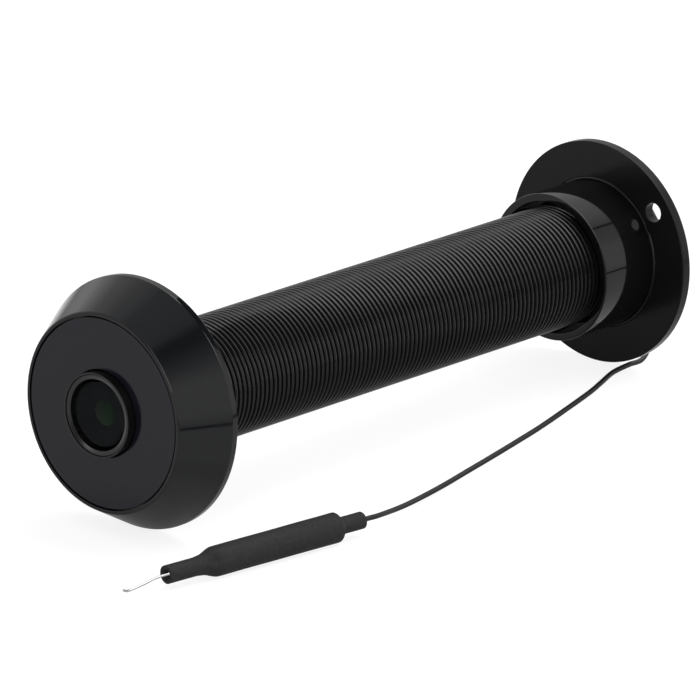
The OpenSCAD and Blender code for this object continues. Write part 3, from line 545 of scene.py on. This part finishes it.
surface("bare_wire", grey(0.33), grey(0.48), (0.2, 0.34), scale=2600.0, Metallic=1.0)


def rear_lens_glass():
    """The rear element's green coating over dark glass, with a painted brown reflection towards one side."""
    material, nodes, shader = blank("rear_lens_coating")
    grain = nodes.group(GRAIN, Scale=700.0)
    # The brown is a painted reflection on the side of lower x; the green is the coating's colour.
    painted_reflection_brown, green = (0.0105, 0.009, 0.0072, 1.0), (0.008, 0.0152, 0.0075, 1.0)
    cloud = (0.006, 0.009, 0.006, 1.0)
    side = nodes.spread(nodes.split(nodes.place())["X"], -0.0012, 0.0004, soft=True)
    nodes.feed(
        shader,
        Base_Color=nodes.mix(nodes.times(grain["Clouds"], 0.5), nodes.mix(side, painted_reflection_brown, green), cloud),
        Roughness=nodes.spread(grain["Clouds"], 0, 1, 0.06, 0.12),
        IOR=1.12, Specular_Tint=(0.6, 1.0, 0.7, 1.0),
    )
    return material


# Pieces

def antenna():
    """The lead from the grommet to the shrink sleeve, with the bare wire in its open end."""
    lead = piece("antenna_cable", strand("antenna_cable", smooth_line(LEAD_PATH), LEAD_R),
                 FINISH["lead_jacket"], "camera", "lead_jacket", "antenna_lead")

    rear, front, neck = 1.0, SLEEVE_LEN - 1.05, SLEEVE_LEN - SLEEVE_NECK
    tube_rear, tube_front, tube_r, tube_bore_r = 6.75, SLEEVE_LEN - 11, 1.88, 1.6
    rear_neck_r, front_neck_r, mouth_r, taper_r = 1.4, 1.5, 1.0, 1.62
    lead_hole_r, cavity_r, cavity_rear = LEAD_R + 0.05, tube_r + 0.05, tube_rear - 0.05

    def shrunk(angle, t):
        """Slight folds where the sleeve has shrunk on the tube's ends, slow waves, and a dimple in front."""
        folds = math.exp(-((t - 29.5) / 3.2) ** 2) * 0.035 * math.sin(5 * angle + 0.7)
        folds += math.exp(-((t - 6.5) / 1.4) ** 2) * 0.03 * math.sin(4 * angle + 2.0)
        waves = 0.012 * math.sin(2 * angle + 0.09 * t) + 0.008 * math.sin(0.55 * t + 3 * angle)
        turn = math.remainder(angle + 0.45, 2 * math.pi)
        dimple = 0.16 * math.exp(-((t - neck + 1.6) / 0.9) ** 2 - (turn / 0.3) ** 2)
        return 0.985 + (folds + waves) * 0.4 - dimple

    def even_steps(start, end, steps):
        return [start + (end - start) * k / steps for k in range(steps + 1)]

    outline = [
        (lead_hole_r, rear), (rear_neck_r, rear, 0.2), (rear_neck_r, 5.5, 0.25), (1.95, 5.95, 0.3),
        (SLEEVE_R, 6.3, 0.3),
    ]
    outline += [(SLEEVE_R, t) for t in even_steps(6.7, neck - 3.1, 26)]
    outline += [
        (SLEEVE_R + (taper_r - SLEEVE_R) * (t * t * (3 - 2 * t)), neck - 2.9 + 3.2 * t)
        for t in even_steps(0, 1, 9)[1:]
    ]
    outline += [(front_neck_r, t) for t in [neck + 1.2] + even_steps(neck + 1.6, neck + 6.4, 8)]
    outline += [
        (front_neck_r, front, 0.12), (mouth_r, front, 0.1), (mouth_r - 0.1, neck - 0.6),
        (cavity_r, tube_front), (cavity_r, cavity_rear), (lead_hole_r, cavity_rear),
    ]
    shrink = turned("antenna_shrink_sleeve", outline, steps=72, sharp=50, swell=shrunk)
    rolled = turned("antenna_rolled_tube", [
        (tube_bore_r, tube_rear, 0.1), (tube_r, tube_rear, 0.1), (tube_r, tube_front, 0.1),
        (tube_bore_r, tube_front, 0.1),
    ], steps=64, start=4, end=356)
    across = Vector((0, 0, 1)).cross(SLEEVE_DIR).normalized()
    place = Matrix((across, SLEEVE_DIR, across.cross(SLEEVE_DIR))).transposed().to_4x4()
    place.translation = SLEEVE_REAR * MM
    for mesh in (shrink, rolled):
        mesh.transform(place)
    sleeve = piece("antenna_shrink_sleeve", shrink, FINISH["shrink_sleeve"], "camera", "shrink_sleeve",
                   "antenna_sleeve", even=False)
    wire = piece("antenna_tip_wire", strand("antenna_tip_wire", smooth_line(WIRE_PATH), WIRE_R),
                 FINISH["bare_wire"], "camera", "bare_wire", "antenna_wire")
    tube = piece("antenna_rolled_tube", rolled, FINISH["gilt_brass"], "camera", "gilt_brass", "antenna_tube")
    for part in (lead, sleeve, wire, tube):
        part.visible_glossy = False


def bezel():
    """The trim cone, and the satin disc in its face."""
    cone = turned("bezel_cone", [
        (ENTRY_R, 0), (RIM_R, 0, EDGE), (RIM_R, -RIM_LAND, 0.12), (FACE_R + 0.09, BEZEL_FRONT + 0.17, 0.02),
        (FACE_R - 0.08, BEZEL_FRONT, 0.015), (POCKET_R, BEZEL_FRONT, 0.08), (POCKET_R, PLATE_BACK),
        (HEAD_HOLE_R, PLATE_BACK), (HEAD_HOLE_R, WEB_BACK), (ROOT_R, WEB_BACK), (ROOT_R, THREAD_START),
        (ENTRY_R, THREAD_START, 0.1),
    ], steps=224)
    piece("bezel_cone", cone, FINISH["bezel_black"], "camera", "bezel_black", "front_bezel")
    disc = turned("face_disc", [
        (HEAD_HOLE_R, PLATE_FRONT, 0.06), (PLATE_R, PLATE_FRONT, 0.1), (PLATE_R, PLATE_BACK),
        (HEAD_HOLE_R, PLATE_BACK),
    ], steps=224)
    piece("face_disc", disc, FINISH["face_satin"], "camera", "face_satin", "face_plate")


def dome(name, r, rise_r, rise, front, back, steps=18):
    """A lens that is flat behind and curved in front, by a rise over a radius."""
    curve_r = (rise_r ** 2 + rise ** 2) / (2 * rise)
    radii = [r * k / steps for k in range(steps + 1)]
    curve = [(x, front + curve_r - math.sqrt(curve_r ** 2 - x ** 2)) for x in radii]
    return turned(name, curve + [(r, back), (0, back)], steps=96)


def lens():
    """The lens head with its ring, its two lenses and the baffle between them."""
    seat_r, inner_r = GLASS_R + 0.05, SPACER_R + 0.05
    head = turned("lens_head", [
        (seat_r, LENS_FRONT, 0.03), (HEAD_R, LENS_FRONT, 0.07), (HEAD_R, HEAD_BACK, 0.1),
        (LENS_THREAD_R, HEAD_BACK), (LENS_THREAD_R, LENS_TAIL), (LENS_BORE_R, LENS_TAIL),
        (LENS_BORE_R, REAR_LENS_BACK), (inner_r, REAR_LENS_BACK), (inner_r, GLASS_BACK), (seat_r, GLASS_BACK),
    ])
    piece("lens_head", head, FINISH["lens_housing"], "camera", "lens_housing", "lens_barrel")
    ring_back = DOME_FRONT + DOME_RISE - 0.03
    ring = turned("lens_ring", [
        (WINDOW_R, ring_back - 0.08, 0.05), (GLASS_R - 0.12, LENS_FRONT + 0.1, 0.08),
        (GLASS_R, LENS_FRONT + 0.18), (GLASS_R, ring_back), (WINDOW_R, ring_back),
    ])
    piece("lens_ring", ring, FINISH["lens_ring_black"], "camera", "lens_housing", "lens_retaining_ring")
    front = dome("lens_dome", GLASS_R, WINDOW_R, DOME_RISE, DOME_FRONT, GLASS_BACK)
    piece("lens_dome", front, FINISH["lens_glass"], "camera", "lens_glass", "front_lens")
    baffle = turned("lens_baffle", [
        (SPACER_R - 0.06, GLASS_BACK), (LENS_BORE_R - 0.3, GLASS_BACK + 0.36, 0.15),
        (STOP_R + 0.4, SPACER_BACK - 0.12, 0.2), (STOP_R, SPACER_BACK - 0.06, 0.03), (STOP_R, SPACER_BACK),
        (SPACER_R, SPACER_BACK), (SPACER_R, GLASS_BACK),
    ], steps=96)
    piece("lens_baffle", baffle, FINISH["baffle_black"], "camera", "black_plastic", "lens_spacer")
    rear = dome("lens_rear_element", SPACER_R - 0.001, STOP_R, REAR_LENS_BULGE,
                SPACER_BACK - REAR_LENS_BULGE + 0.025, REAR_LENS_BACK)
    piece("lens_rear_element", rear, rear_lens_glass(), "camera", "lens_glass", "rear_lens")


def barrel(columns=120):
    """The tube with its thread as one helix, from profile points of share of pitch and share of depth."""
    profile = ((0, 0.0), (0.05, 0.02), (0.25, 0.9), (0.33, 0.955), (0.41, 0.99), (0.5, 1.0), (0.59, 0.99),
               (0.67, 0.955), (0.75, 0.9), (0.95, 0.02))
    turns = round((THREAD_END - THREAD_START) / PITCH)
    depth = BARREL_R - ROOT_R

    def crest(y):
        """The thread's height near its two ends, where the tool has chamfered it."""
        return max(0.0, min(1.0, (THREAD_END - y) / 0.5, (y - THREAD_START) / 0.2))

    rows = [(turn - 1 + share, rise) for turn in range(turns + 2) for share, rise in profile]
    angles = [-2 * math.pi * k / columns for k in range(columns)]
    verts, faces = [], []
    for at, rise in rows:
        for k, angle in enumerate(angles):
            y = min(max(THREAD_START + (at + k / columns) * PITCH, THREAD_START), THREAD_END)
            r = ROOT_R + depth * min(rise, crest(y))
            verts.append((r * math.cos(angle), y, r * math.sin(angle)))
    count, step = len(rows), len(profile)
    for i in range(count - 1):
        low, high = i * columns, (i + 1) * columns
        faces += [[low + k, low + k + 1, high + k + 1, high + k] for k in range(columns - 1)]
        if i + step + 1 < count:
            last, first = high - 1, (i + step) * columns
            faces.append([last, first, first + columns, last + columns])
    tube = [
        (ROOT_R, THREAD_END), (ROOT_R, BARREL_END - 0.15), (ROOT_R - 0.15, BARREL_END), (BORE_R, BARREL_END),
        (BORE_R, WEB_BACK), (SPIGOT_R, WEB_BACK), (SPIGOT_R, THREAD_START), (ROOT_R, THREAD_START),
    ]
    first = len(verts)
    verts += [(r * math.cos(angle), y, r * math.sin(angle)) for r, y in tube for angle in angles]
    faces += [[first + k for k in face] for face in walls(len(tube), columns)]
    piece("barrel_thread", mesh_of("barrel_thread", verts, faces, sharp=34), FINISH["barrel_black"], "camera",
          "barrel_black", "threaded_barrel", even=False)


def flange():
    """The flange plate with its two screw holes."""
    bore_r = NUT_SPIGOT_R + 0.05
    disc = turned("flange_disc", [
        (bore_r, RECESS_BACK), (RECESS_R, RECESS_BACK), (RECESS_R, SEAT, 0.12), (FLANGE_R, SEAT, EDGE),
        (FLANGE_R, FLANGE_BACK, EDGE), (bore_r, FLANGE_BACK, 0.1),
    ], steps=224)
    holes = []
    for turn in (SCREW_ANGLE, SCREW_ANGLE + 180):
        x, z = [SCREW_CIRCLE_R * f(math.radians(turn)) for f in (math.cos, math.sin)]
        holes.append(hole(round_outline(SCREW_R, x, z), SEAT, FLANGE_BACK, 0.04))
    piece("flange_disc", cut(disc, holes), FINISH["flange_black"], "flange", "flange_black", "flange_plate")


def nut():
    """The collar with its spanner slot, and the spring clip in its groove."""
    foot_r, groove_front, slot_w, slot_depth = RECESS_R - 0.04, CLIP_FRONT - 0.025, 2.4, 0.8
    collar = turned("nut_collar", [
        (MOUTH_R, COLLAR_FRONT, 0.12), (COLLAR_R, COLLAR_FRONT, 0.25), (COLLAR_R, SEAT - 0.1, 0.3),
        (foot_r, SEAT + 0.08), (foot_r, SHOULDER), (NUT_SPIGOT_R, SHOULDER), (NUT_SPIGOT_R, groove_front),
        (GROOVE_R, groove_front), (GROOVE_R, GROOVE_BACK), (NUT_SPIGOT_R, GROOVE_BACK),
        (NUT_SPIGOT_R, NUT_BACK, 0.2), (NUT_BORE_R, NUT_BACK, 0.2), (NUT_BORE_R, MOUTH_END, 0.3),
        (MOUTH_R, MOUTH_END),
    ], steps=224)
    across = box_outline(2 * COLLAR_R, slot_w, corner=0.2)
    slot = stacked("slot", [(NUT_BACK - slot_depth, across), (NUT_BACK + 1, across)])
    piece("nut_collar", cut(collar, [slot]), FINISH["collar_gloss"], "nut", "flange_black", "sleeve_nut")
    opening = math.degrees(math.asin(CLIP_OPENING / 2 / CLIP_OUT_R))
    clip = turned("nut_spring_clip", [
        (GROOVE_R + 0.05, CLIP_FRONT, 0.15), (CLIP_OUT_R, CLIP_FRONT, 0.2), (CLIP_OUT_R, CLIP_BACK, 0.2),
        (GROOVE_R + 0.05, CLIP_BACK, 0.15),
    ], start=90 + opening, end=450 - opening)
    piece("nut_spring_clip", clip, FINISH["spring_steel"], "nut", "spring_steel", "nut_clip")


def rear_end():
    """The cap with its windows, and what shows in them."""
    cap = turned("rear_cap_cover", [
        (0, PLUG_FRONT), (PLUG_R, PLUG_FRONT, 0.15), (PLUG_R, CAP_SEAL_FRONT), (CAP_SEAL_R, CAP_SEAL_FRONT),
        (CAP_SEAL_R, CAP_SEAL_BACK), (PLUG_R, CAP_SEAL_BACK), (PLUG_R, BARREL_END), (CAP_R, BARREL_END, 0.1),
        (CAP_R, CAP_BACK, 0.3), (0, CAP_BACK),
    ])
    card_z = CARD_LOW + CARD_THICK / 2
    windows = [
        (box_outline(CARD_W + 2 * WINDOW_GAP, CARD_THICK + 0.1, 0, card_z, 0.12), 0.15),
        (box_outline(POWER_W + 2 * WINDOW_GAP, POWER_H + 2 * WINDOW_GAP, POWER_X, POWER_Z, 0.5), 0.15),
        (round_outline(RESET_R + WINDOW_GAP, RESET_X, RESET_Z), 0.15),
        (round_outline(GROMMET_NECK_R + 0.05, 0, GROMMET_Z), 0.01),
    ]
    cap = cut(cap, [hole(ring, PLUG_FRONT, CAP_BACK, bevel) for ring, bevel in windows])
    piece("rear_cap_cover", cap, FINISH["black_plastic"], "camera", "black_plastic", "rear_cap")

    inner_w, inner_h, floor = POWER_W - 2 * POWER_WALL, POWER_H - 2 * POWER_WALL, POWER_FRONT + POWER_WALL
    outer = box_outline(POWER_W, POWER_H, POWER_X, POWER_Z, 0.55)
    inner = box_outline(inner_w, inner_h, POWER_X, POWER_Z, 0.35)
    shell = stacked("power_shell", [
        (POWER_FRONT, outer), (POWER_BACK - 0.1, outer), (POWER_BACK, grown(outer, -0.1)),
        (POWER_BACK, grown(inner, 0.1)), (POWER_BACK - 0.1, inner), (floor, inner),
    ])
    piece("power_shell", shell, FINISH["tinned_steel"], "camera", "tinned_steel", "power_socket")
    tongue = stacked("power_tongue", [
        (floor + depth, box_outline(w, h, POWER_X, POWER_Z, 0.1))
        for depth, w, h in ((0, 5, 0.6), (3.5, 5, 0.6), (3.8, 4.7, 0.4))
    ])
    piece("power_tongue", tongue, FINISH["black_plastic"], "camera", "black_plastic", "power_socket_tongue")
    strips = []
    for k in range(-2, 3):
        ring = box_outline(0.42, 0.08, POWER_X + 0.85 * k, POWER_Z - 0.31, 0.03)
        strips.append(stacked("strip", [(floor + depth, ring) for depth in (0.1, 3.4)]))
    piece("power_contacts", joined("power_contacts", strips), FINISH["gilt_brass"], "camera", "gilt_brass")

    stem_front, head_front, head_back = 109.6, 110.85, CAP_BACK + 0.3
    button = turned("reset_cap", [
        (0, stem_front), (RESET_STEM_R, stem_front, 0.1), (RESET_STEM_R, head_front),
        (RESET_R, head_front, 0.1), (RESET_R, head_back, 0.28), (RESET_STEM_R, head_back, 0.1),
        (0, head_back - 0.12),
    ], steps=48, centre=(RESET_X, RESET_Z))
    piece("reset_cap", button, FINISH["black_plastic"], "button", "black_plastic", "reset_button")

    lip_back, lead_hole_r = CAP_BACK + 0.8, LEAD_R + 0.05
    outline = [
        (lead_hole_r, GROMMET_FRONT), (GROMMET_R, GROMMET_FRONT, 0.2), (GROMMET_R, PLUG_FRONT, 0.1),
        (GROMMET_NECK_R, PLUG_FRONT), (GROMMET_NECK_R, CAP_BACK), (GROMMET_R, CAP_BACK, 0.1),
        (GROMMET_R, lip_back, 0.3), (GROMMET_NECK_R, lip_back, 0.2),
    ]
    for rib_r, groove_r, next_r, rib_end, groove_end, next_start in (
        (1.32, 1.12, 1.28, 116.1, 116.45, 116.55),
        (1.2, 1.0, 1.12, 117.1, 117.45, 117.55),
        (1.02, 0.85, 0.95, 118.05, 118.35, 118.4),
    ):
        outline += [(rib_r, rib_end), (groove_r, rib_end + 0.1), (groove_r, groove_end), (next_r, next_start)]
    outline += [(0.85, GROMMET_BACK, 0.12), (lead_hole_r, GROMMET_BACK)]
    grommet = turned("lead_grommet", outline, steps=64, centre=(0, GROMMET_Z))
    piece("lead_grommet", grommet, FINISH["rubber_black"], "camera", "rubber_black", "cable_grommet")


def card():
    """The memory card, with its cut corner, finger ridge and contacts."""
    half, notch, middle, plate_top = CARD_W / 2, CARD_W / 2 - 1, (CARD_FRONT + CARD_BACK) / 2, CARD_LOW + 0.7
    outline = rounded([
        (-half, CARD_FRONT, 0.5), (notch, CARD_FRONT, 0.5), (notch, CARD_FRONT + 6.2, 0.2),
        (half, CARD_FRONT + 7.4, 0.3), (half, CARD_BACK, 0.6), (-half, CARD_BACK, 0.6),
    ])
    levels = [(CARD_LOW, 0.97), (CARD_LOW + 0.05, 1.0), (plate_top - 0.05, 1.0), (plate_top, 0.97)]
    verts = [(x * s, middle + (y - middle) * (1 - (1 - s) * 0.7), z) for z, s in levels for x, y in outline]
    count = len(outline)
    ends = [[i * count + k for k in range(count)] for i in (0, len(levels) - 1)]
    plate = mesh_of("card", verts, walls(len(levels), count) + ends)
    ridge = stacked("ridge", [
        (CARD_BACK - back, box_outline(CARD_W - 0.8, h, 0, plate_top - 0.05, 0.05))
        for back, h in ((1.2, 0.1), (0.9, 0.3), (0.2, 0.3), (0.05, 0.2))
    ])
    body = joined("card_body", [plate, ridge])
    piece("card_body", body, FINISH["chip_black"], "card", "chip_black", "memory_card")
    pads = []
    for k in range(8):
        ring = box_outline(0.75, 0.06, -4.4 + 1.1 * k, CARD_LOW + 0.005, 0.02)
        pads.append(stacked("pad", [(CARD_FRONT + depth, ring) for depth in (0.7, 3.5)]))
    piece("card_contacts", joined("card_contacts", pads), FINISH["gilt_brass"], "card", "gilt_brass")


def carried_over():
    """Finishes for the solids that keep their own shape."""
    for row in frame["record"]["subparts"]:
        mesh = frame["nodes"][row["node"]].data
        mesh.materials.clear()
        mesh.materials.append(FINISH[row["material_slot"]])


# Studio

def sheet(name, corners, material):
    """A flat sheet of the studio, from its corners in mm."""
    mesh = bpy.data.meshes.new(name)
    mesh.from_pydata([Vector(v) * MM for v in corners], [], [list(range(len(corners)))])
    mesh.materials.append(material)
    obj = bpy.data.objects.new(name, mesh)
    SCENE.collection.objects.link(obj)
    return obj


def lamp(name, size, place, level):
    """A soft box that faces the object; its level is the brightness of its face."""
    light = bpy.data.lights.new(name, "AREA")
    light.shape = "RECTANGLE"
    light.size, light.size_y = size
    light.energy = level * math.pi * size[0] * size[1]
    obj = bpy.data.objects.new(name, light)
    obj.location = place
    obj.rotation_euler = (Vector(place) - Vector((0, SIGHT_Y * MM, 0))).to_track_quat("Z", "Y").to_euler()
    obj.visible_camera = False
    SCENE.collection.objects.link(obj)


def air():
    """Light of the tent's walls by the angle round the barrel's axis, and the dark room behind the camera."""
    full, room_level, band_level, window_level = 5.2, 0.075, 2.7, 4.2
    to_room, band_axis, to_window = (0.1, -0.947, 0.305), (0.67, 0.698, 0.257), (-0.4245, -0.8437, 0.328)
    world = bpy.data.worlds.new("studio_air")
    world.use_nodes = True
    nodes = Tree(world.node_tree)
    way = nodes.add("ShaderNodeTexCoord").outputs["Generated"]
    apart = nodes.split(way)
    round_axis = nodes.spread(nodes.calc("ARCTAN2", apart["Z"], apart["X"]), 0, math.pi)

    def wall(*levels):
        """Brightness of the wall, from pairs of degrees above the right side and level."""
        ramp = nodes.add("ShaderNodeValToRGB")
        stops = ramp.color_ramp.elements
        for k, (angle, level) in enumerate(levels):
            stop = stops[k] if k < 2 else stops.new(angle / 180)
            stop.position, stop.color = angle / 180, grey(level / full)
        nodes.feed(ramp, Fac=round_axis)
        return ramp.outputs["Color"]

    near = wall(
        (0, 1.4), (180, 0.6), (12, 1.45), (22, 1.35), (30, 1.15), (38, 0.75), (47, 0.42), (56, 0.16),
        (63, 0.13), (67, 0.3), (72, 0.6), (80, 0.68), (106, 0.68), (113, 0.9), (135, 0.95), (150, 1.05),
        (163, 1.1), (172, 0.8),
    )
    far = wall(
        (0, 1.5), (180, 0.4), (20, 1.37), (31, 1.2), (40, 1.0), (50, 0.9), (57, 0.85), (58.5, 0.15),
        (61, 0.15), (62.5, 0.92), (70, 1.1), (81, 1.25), (100, 1.25), (110, 1.1), (125, 1.0), (145, 0.8),
        (165, 0.5),
    )
    over = wall(
        (20, 0.0), (140, 0.0), (27, 0.4), (35, 1.5), (45, 3.1), (55, 4.4), (65, 5.2), (75, 4.9), (85, 4.0),
        (95, 3.0), (105, 2.2), (125, 0.8), (150, 0.22), (162, 0.42), (172, 0.22), (179, 0.0),
    )
    light = nodes.mix(nodes.spread(apart["Y"], 0.0, 0.6, soft=True), near, far)
    light = nodes.mix(nodes.within(apart["Y"], 0.1, 0.26, 0.6, 0.7), light, over, "ADD")
    room = nodes.spread(nodes.along(way, to_room), 0.75, 0.9, soft=True)
    light = nodes.mix(room, light, grey(room_level / full))
    band = nodes.times(nodes.spread(nodes.off(nodes.along(way, band_axis), 0.0), 0.17, 0.09, soft=True),
                       nodes.spread(apart["Y"], -0.3, -0.48, soft=True))
    light = nodes.mix(band, light, grey(band_level / full), "ADD")
    window = nodes.spread(nodes.along(way, to_window), 0.982, 0.997, soft=True)
    light = nodes.mix(window, light, grey(window_level / full), "ADD")
    nodes.feed(world.node_tree.nodes["Background"], Color=light, Strength=full)
    SCENE.world = world


def table_top():
    """White paper under the object. Mirrors see painted shadow of the barrel and under the bezel, painted
    shade far to the left, and painted light where the sleeve's shadow falls. Places are in m.
    """
    paper, nodes, shader = blank("white_paper")
    path = nodes.add("ShaderNodeLightPath").outputs
    at = nodes.split(nodes.place())
    x, y = at["X"], at["Y"]
    # Painted shadow of the barrel on the paper, which only mirrors see.
    painted_barrel_shadow = nodes.within(nodes.calc("SUBTRACT", y, nodes.times(x, 0.857)), 0.0, 0.01, 0.09, 0.098)
    painted_barrel_shadow = nodes.times(painted_barrel_shadow, nodes.spread(x, 0.0, 0.008, soft=True))
    painted_barrel_shadow = nodes.times(painted_barrel_shadow, nodes.spread(x, 0.01, 0.095, 0.72, 0.25))
    # Painted contact shade under the bezel, which only mirrors see.
    contact = nodes.times(nodes.spread(nodes.off(x, 0.0), 0.012, 0.001, 0.0, 0.38, soft=True),
                          nodes.spread(nodes.off(y, -0.002), 0.012, 0.004, soft=True))
    # Painted shade far to the left, which no part of the object casts, seen only in mirrors.
    painted_far_left_shade = nodes.spread(x, -0.15, -0.5, 0.0, 0.35)
    shade = nodes.calc("MAXIMUM", nodes.calc("MAXIMUM", painted_barrel_shadow, contact), painted_far_left_shade)
    # Painted light where the sleeve's shadow falls, so that mirrors show the paper there unshaded.
    from_sleeve = nodes.off(nodes.calc("SUBTRACT", x, nodes.times(y, 0.145)), 0.0268)
    sleeve = nodes.times(nodes.spread(from_sleeve, 0.011, 0.004, soft=True),
                         nodes.spread(nodes.off(y, -0.001), 0.03, 0.023, soft=True))
    fibres = nodes.spread(nodes.noise(nodes.place(), 900.0), 0.3, 0.7)

    def seen(direct, mirrored, other):
        """One colour for the camera and through glass, one for mirrors and one for other light."""
        shown = nodes.calc("MAXIMUM", path["Is Camera Ray"], path["Is Transmission Ray"])
        return nodes.mix(shown, nodes.mix(path["Is Glossy Ray"], other, mirrored), direct)

    colour = seen(
        nodes.mix(fibres, grey(0.19), grey(0.21)),
        nodes.mix(shade, nodes.mix(sleeve, grey(0.45), grey(0.04)), grey(0.0)),
        nodes.mix(fibres, grey(0.49), grey(0.51)),
    )
    glow = seen(grey(0.84), nodes.mix(shade, nodes.mix(sleeve, grey(0.28), grey(0.8)), grey(0.0)), grey(0.05))
    nodes.feed(shader, Base_Color=colour, Roughness=0.9, Specular_IOR_Level=0.0, Emission_Color=glow,
               Emission_Strength=1.0)
    half, sunk = 4000, 0.02
    corners = [(half * a, half * b) for a, b in ((-1, -1), (1, -1), (1, 1), (-1, 1))]
    sheet("table_top", [(x, y, table(y) - sunk) for x, y in corners], paper)


def side_card_paper():
    """A bright card that is dark across its middle. Places are in m."""
    card, nodes, shader = blank("side_card")
    at = nodes.split(nodes.place())
    ends = nodes.spread(at["Z"], -0.016, 0.0, 0.9, 1.32)
    middle = nodes.plus(nodes.spread(at["Z"], -0.006, -0.004, 0.65, 0.05),
                        nodes.spread(at["Z"], 0.011, 0.04, 0.0, 1.25))
    share = nodes.within(at["Y"], 0.078, 0.09, 0.16, 0.175)
    level = nodes.plus(nodes.times(nodes.calc("SUBTRACT", 1.0, share), ends), nodes.times(share, middle))
    nodes.feed(shader, Base_Color=grey(0.02), Roughness=0.9, Specular_IOR_Level=0.0, Emission_Color=grey(1.0),
               Emission_Strength=level)
    return card


def black_paper():
    """The card's foot and the card overhead."""
    black, nodes, shader = blank("card_foot")
    fibres = nodes.mix(nodes.noise(nodes.place(), 300.0), grey(0.02), grey(0.04))
    nodes.feed(shader, Base_Color=fibres, Roughness=0.9, Specular_IOR_Level=0.0)
    return black


def cards():
    """Cards that only mirrors see: a bright one at the right on a black foot, and a black one overhead."""
    foot_height, card_top, flag_height = 3.5, 46, 30
    line = ((106.9, -200), (80.9, 400))
    flag = ((11, 1), (21, 1), (31, 22), (78, 76), (78, 111), (-2, 31), (-2, 22))
    low = [(x, y, table(y)) for x, y in line]
    foot = [(x, y, table(y) + foot_height) for x, y in line]
    top = [(x, y, card_top) for x, y in line]
    black = black_paper()
    for obj in (
        sheet("card_foot", low + foot[::-1], black),
        sheet("side_card", foot + top[::-1], side_card_paper()),
        sheet("overhead_flag", [(x, y, flag_height) for x, y in flag], black),
    ):
        obj.visible_camera = obj.visible_diffuse = obj.visible_shadow = False


def studio():
    SCENE.view_settings.view_transform = "Standard"
    air()
    table_top()
    cards()
    lamp("back_top_box", (0.5, 0.5), (0, 0.59, 1.07), 1.2)


make_camera()
carried_over()
antenna()
bezel()
lens()
barrel()
flange()
nut()
rear_end()
card()
studio()
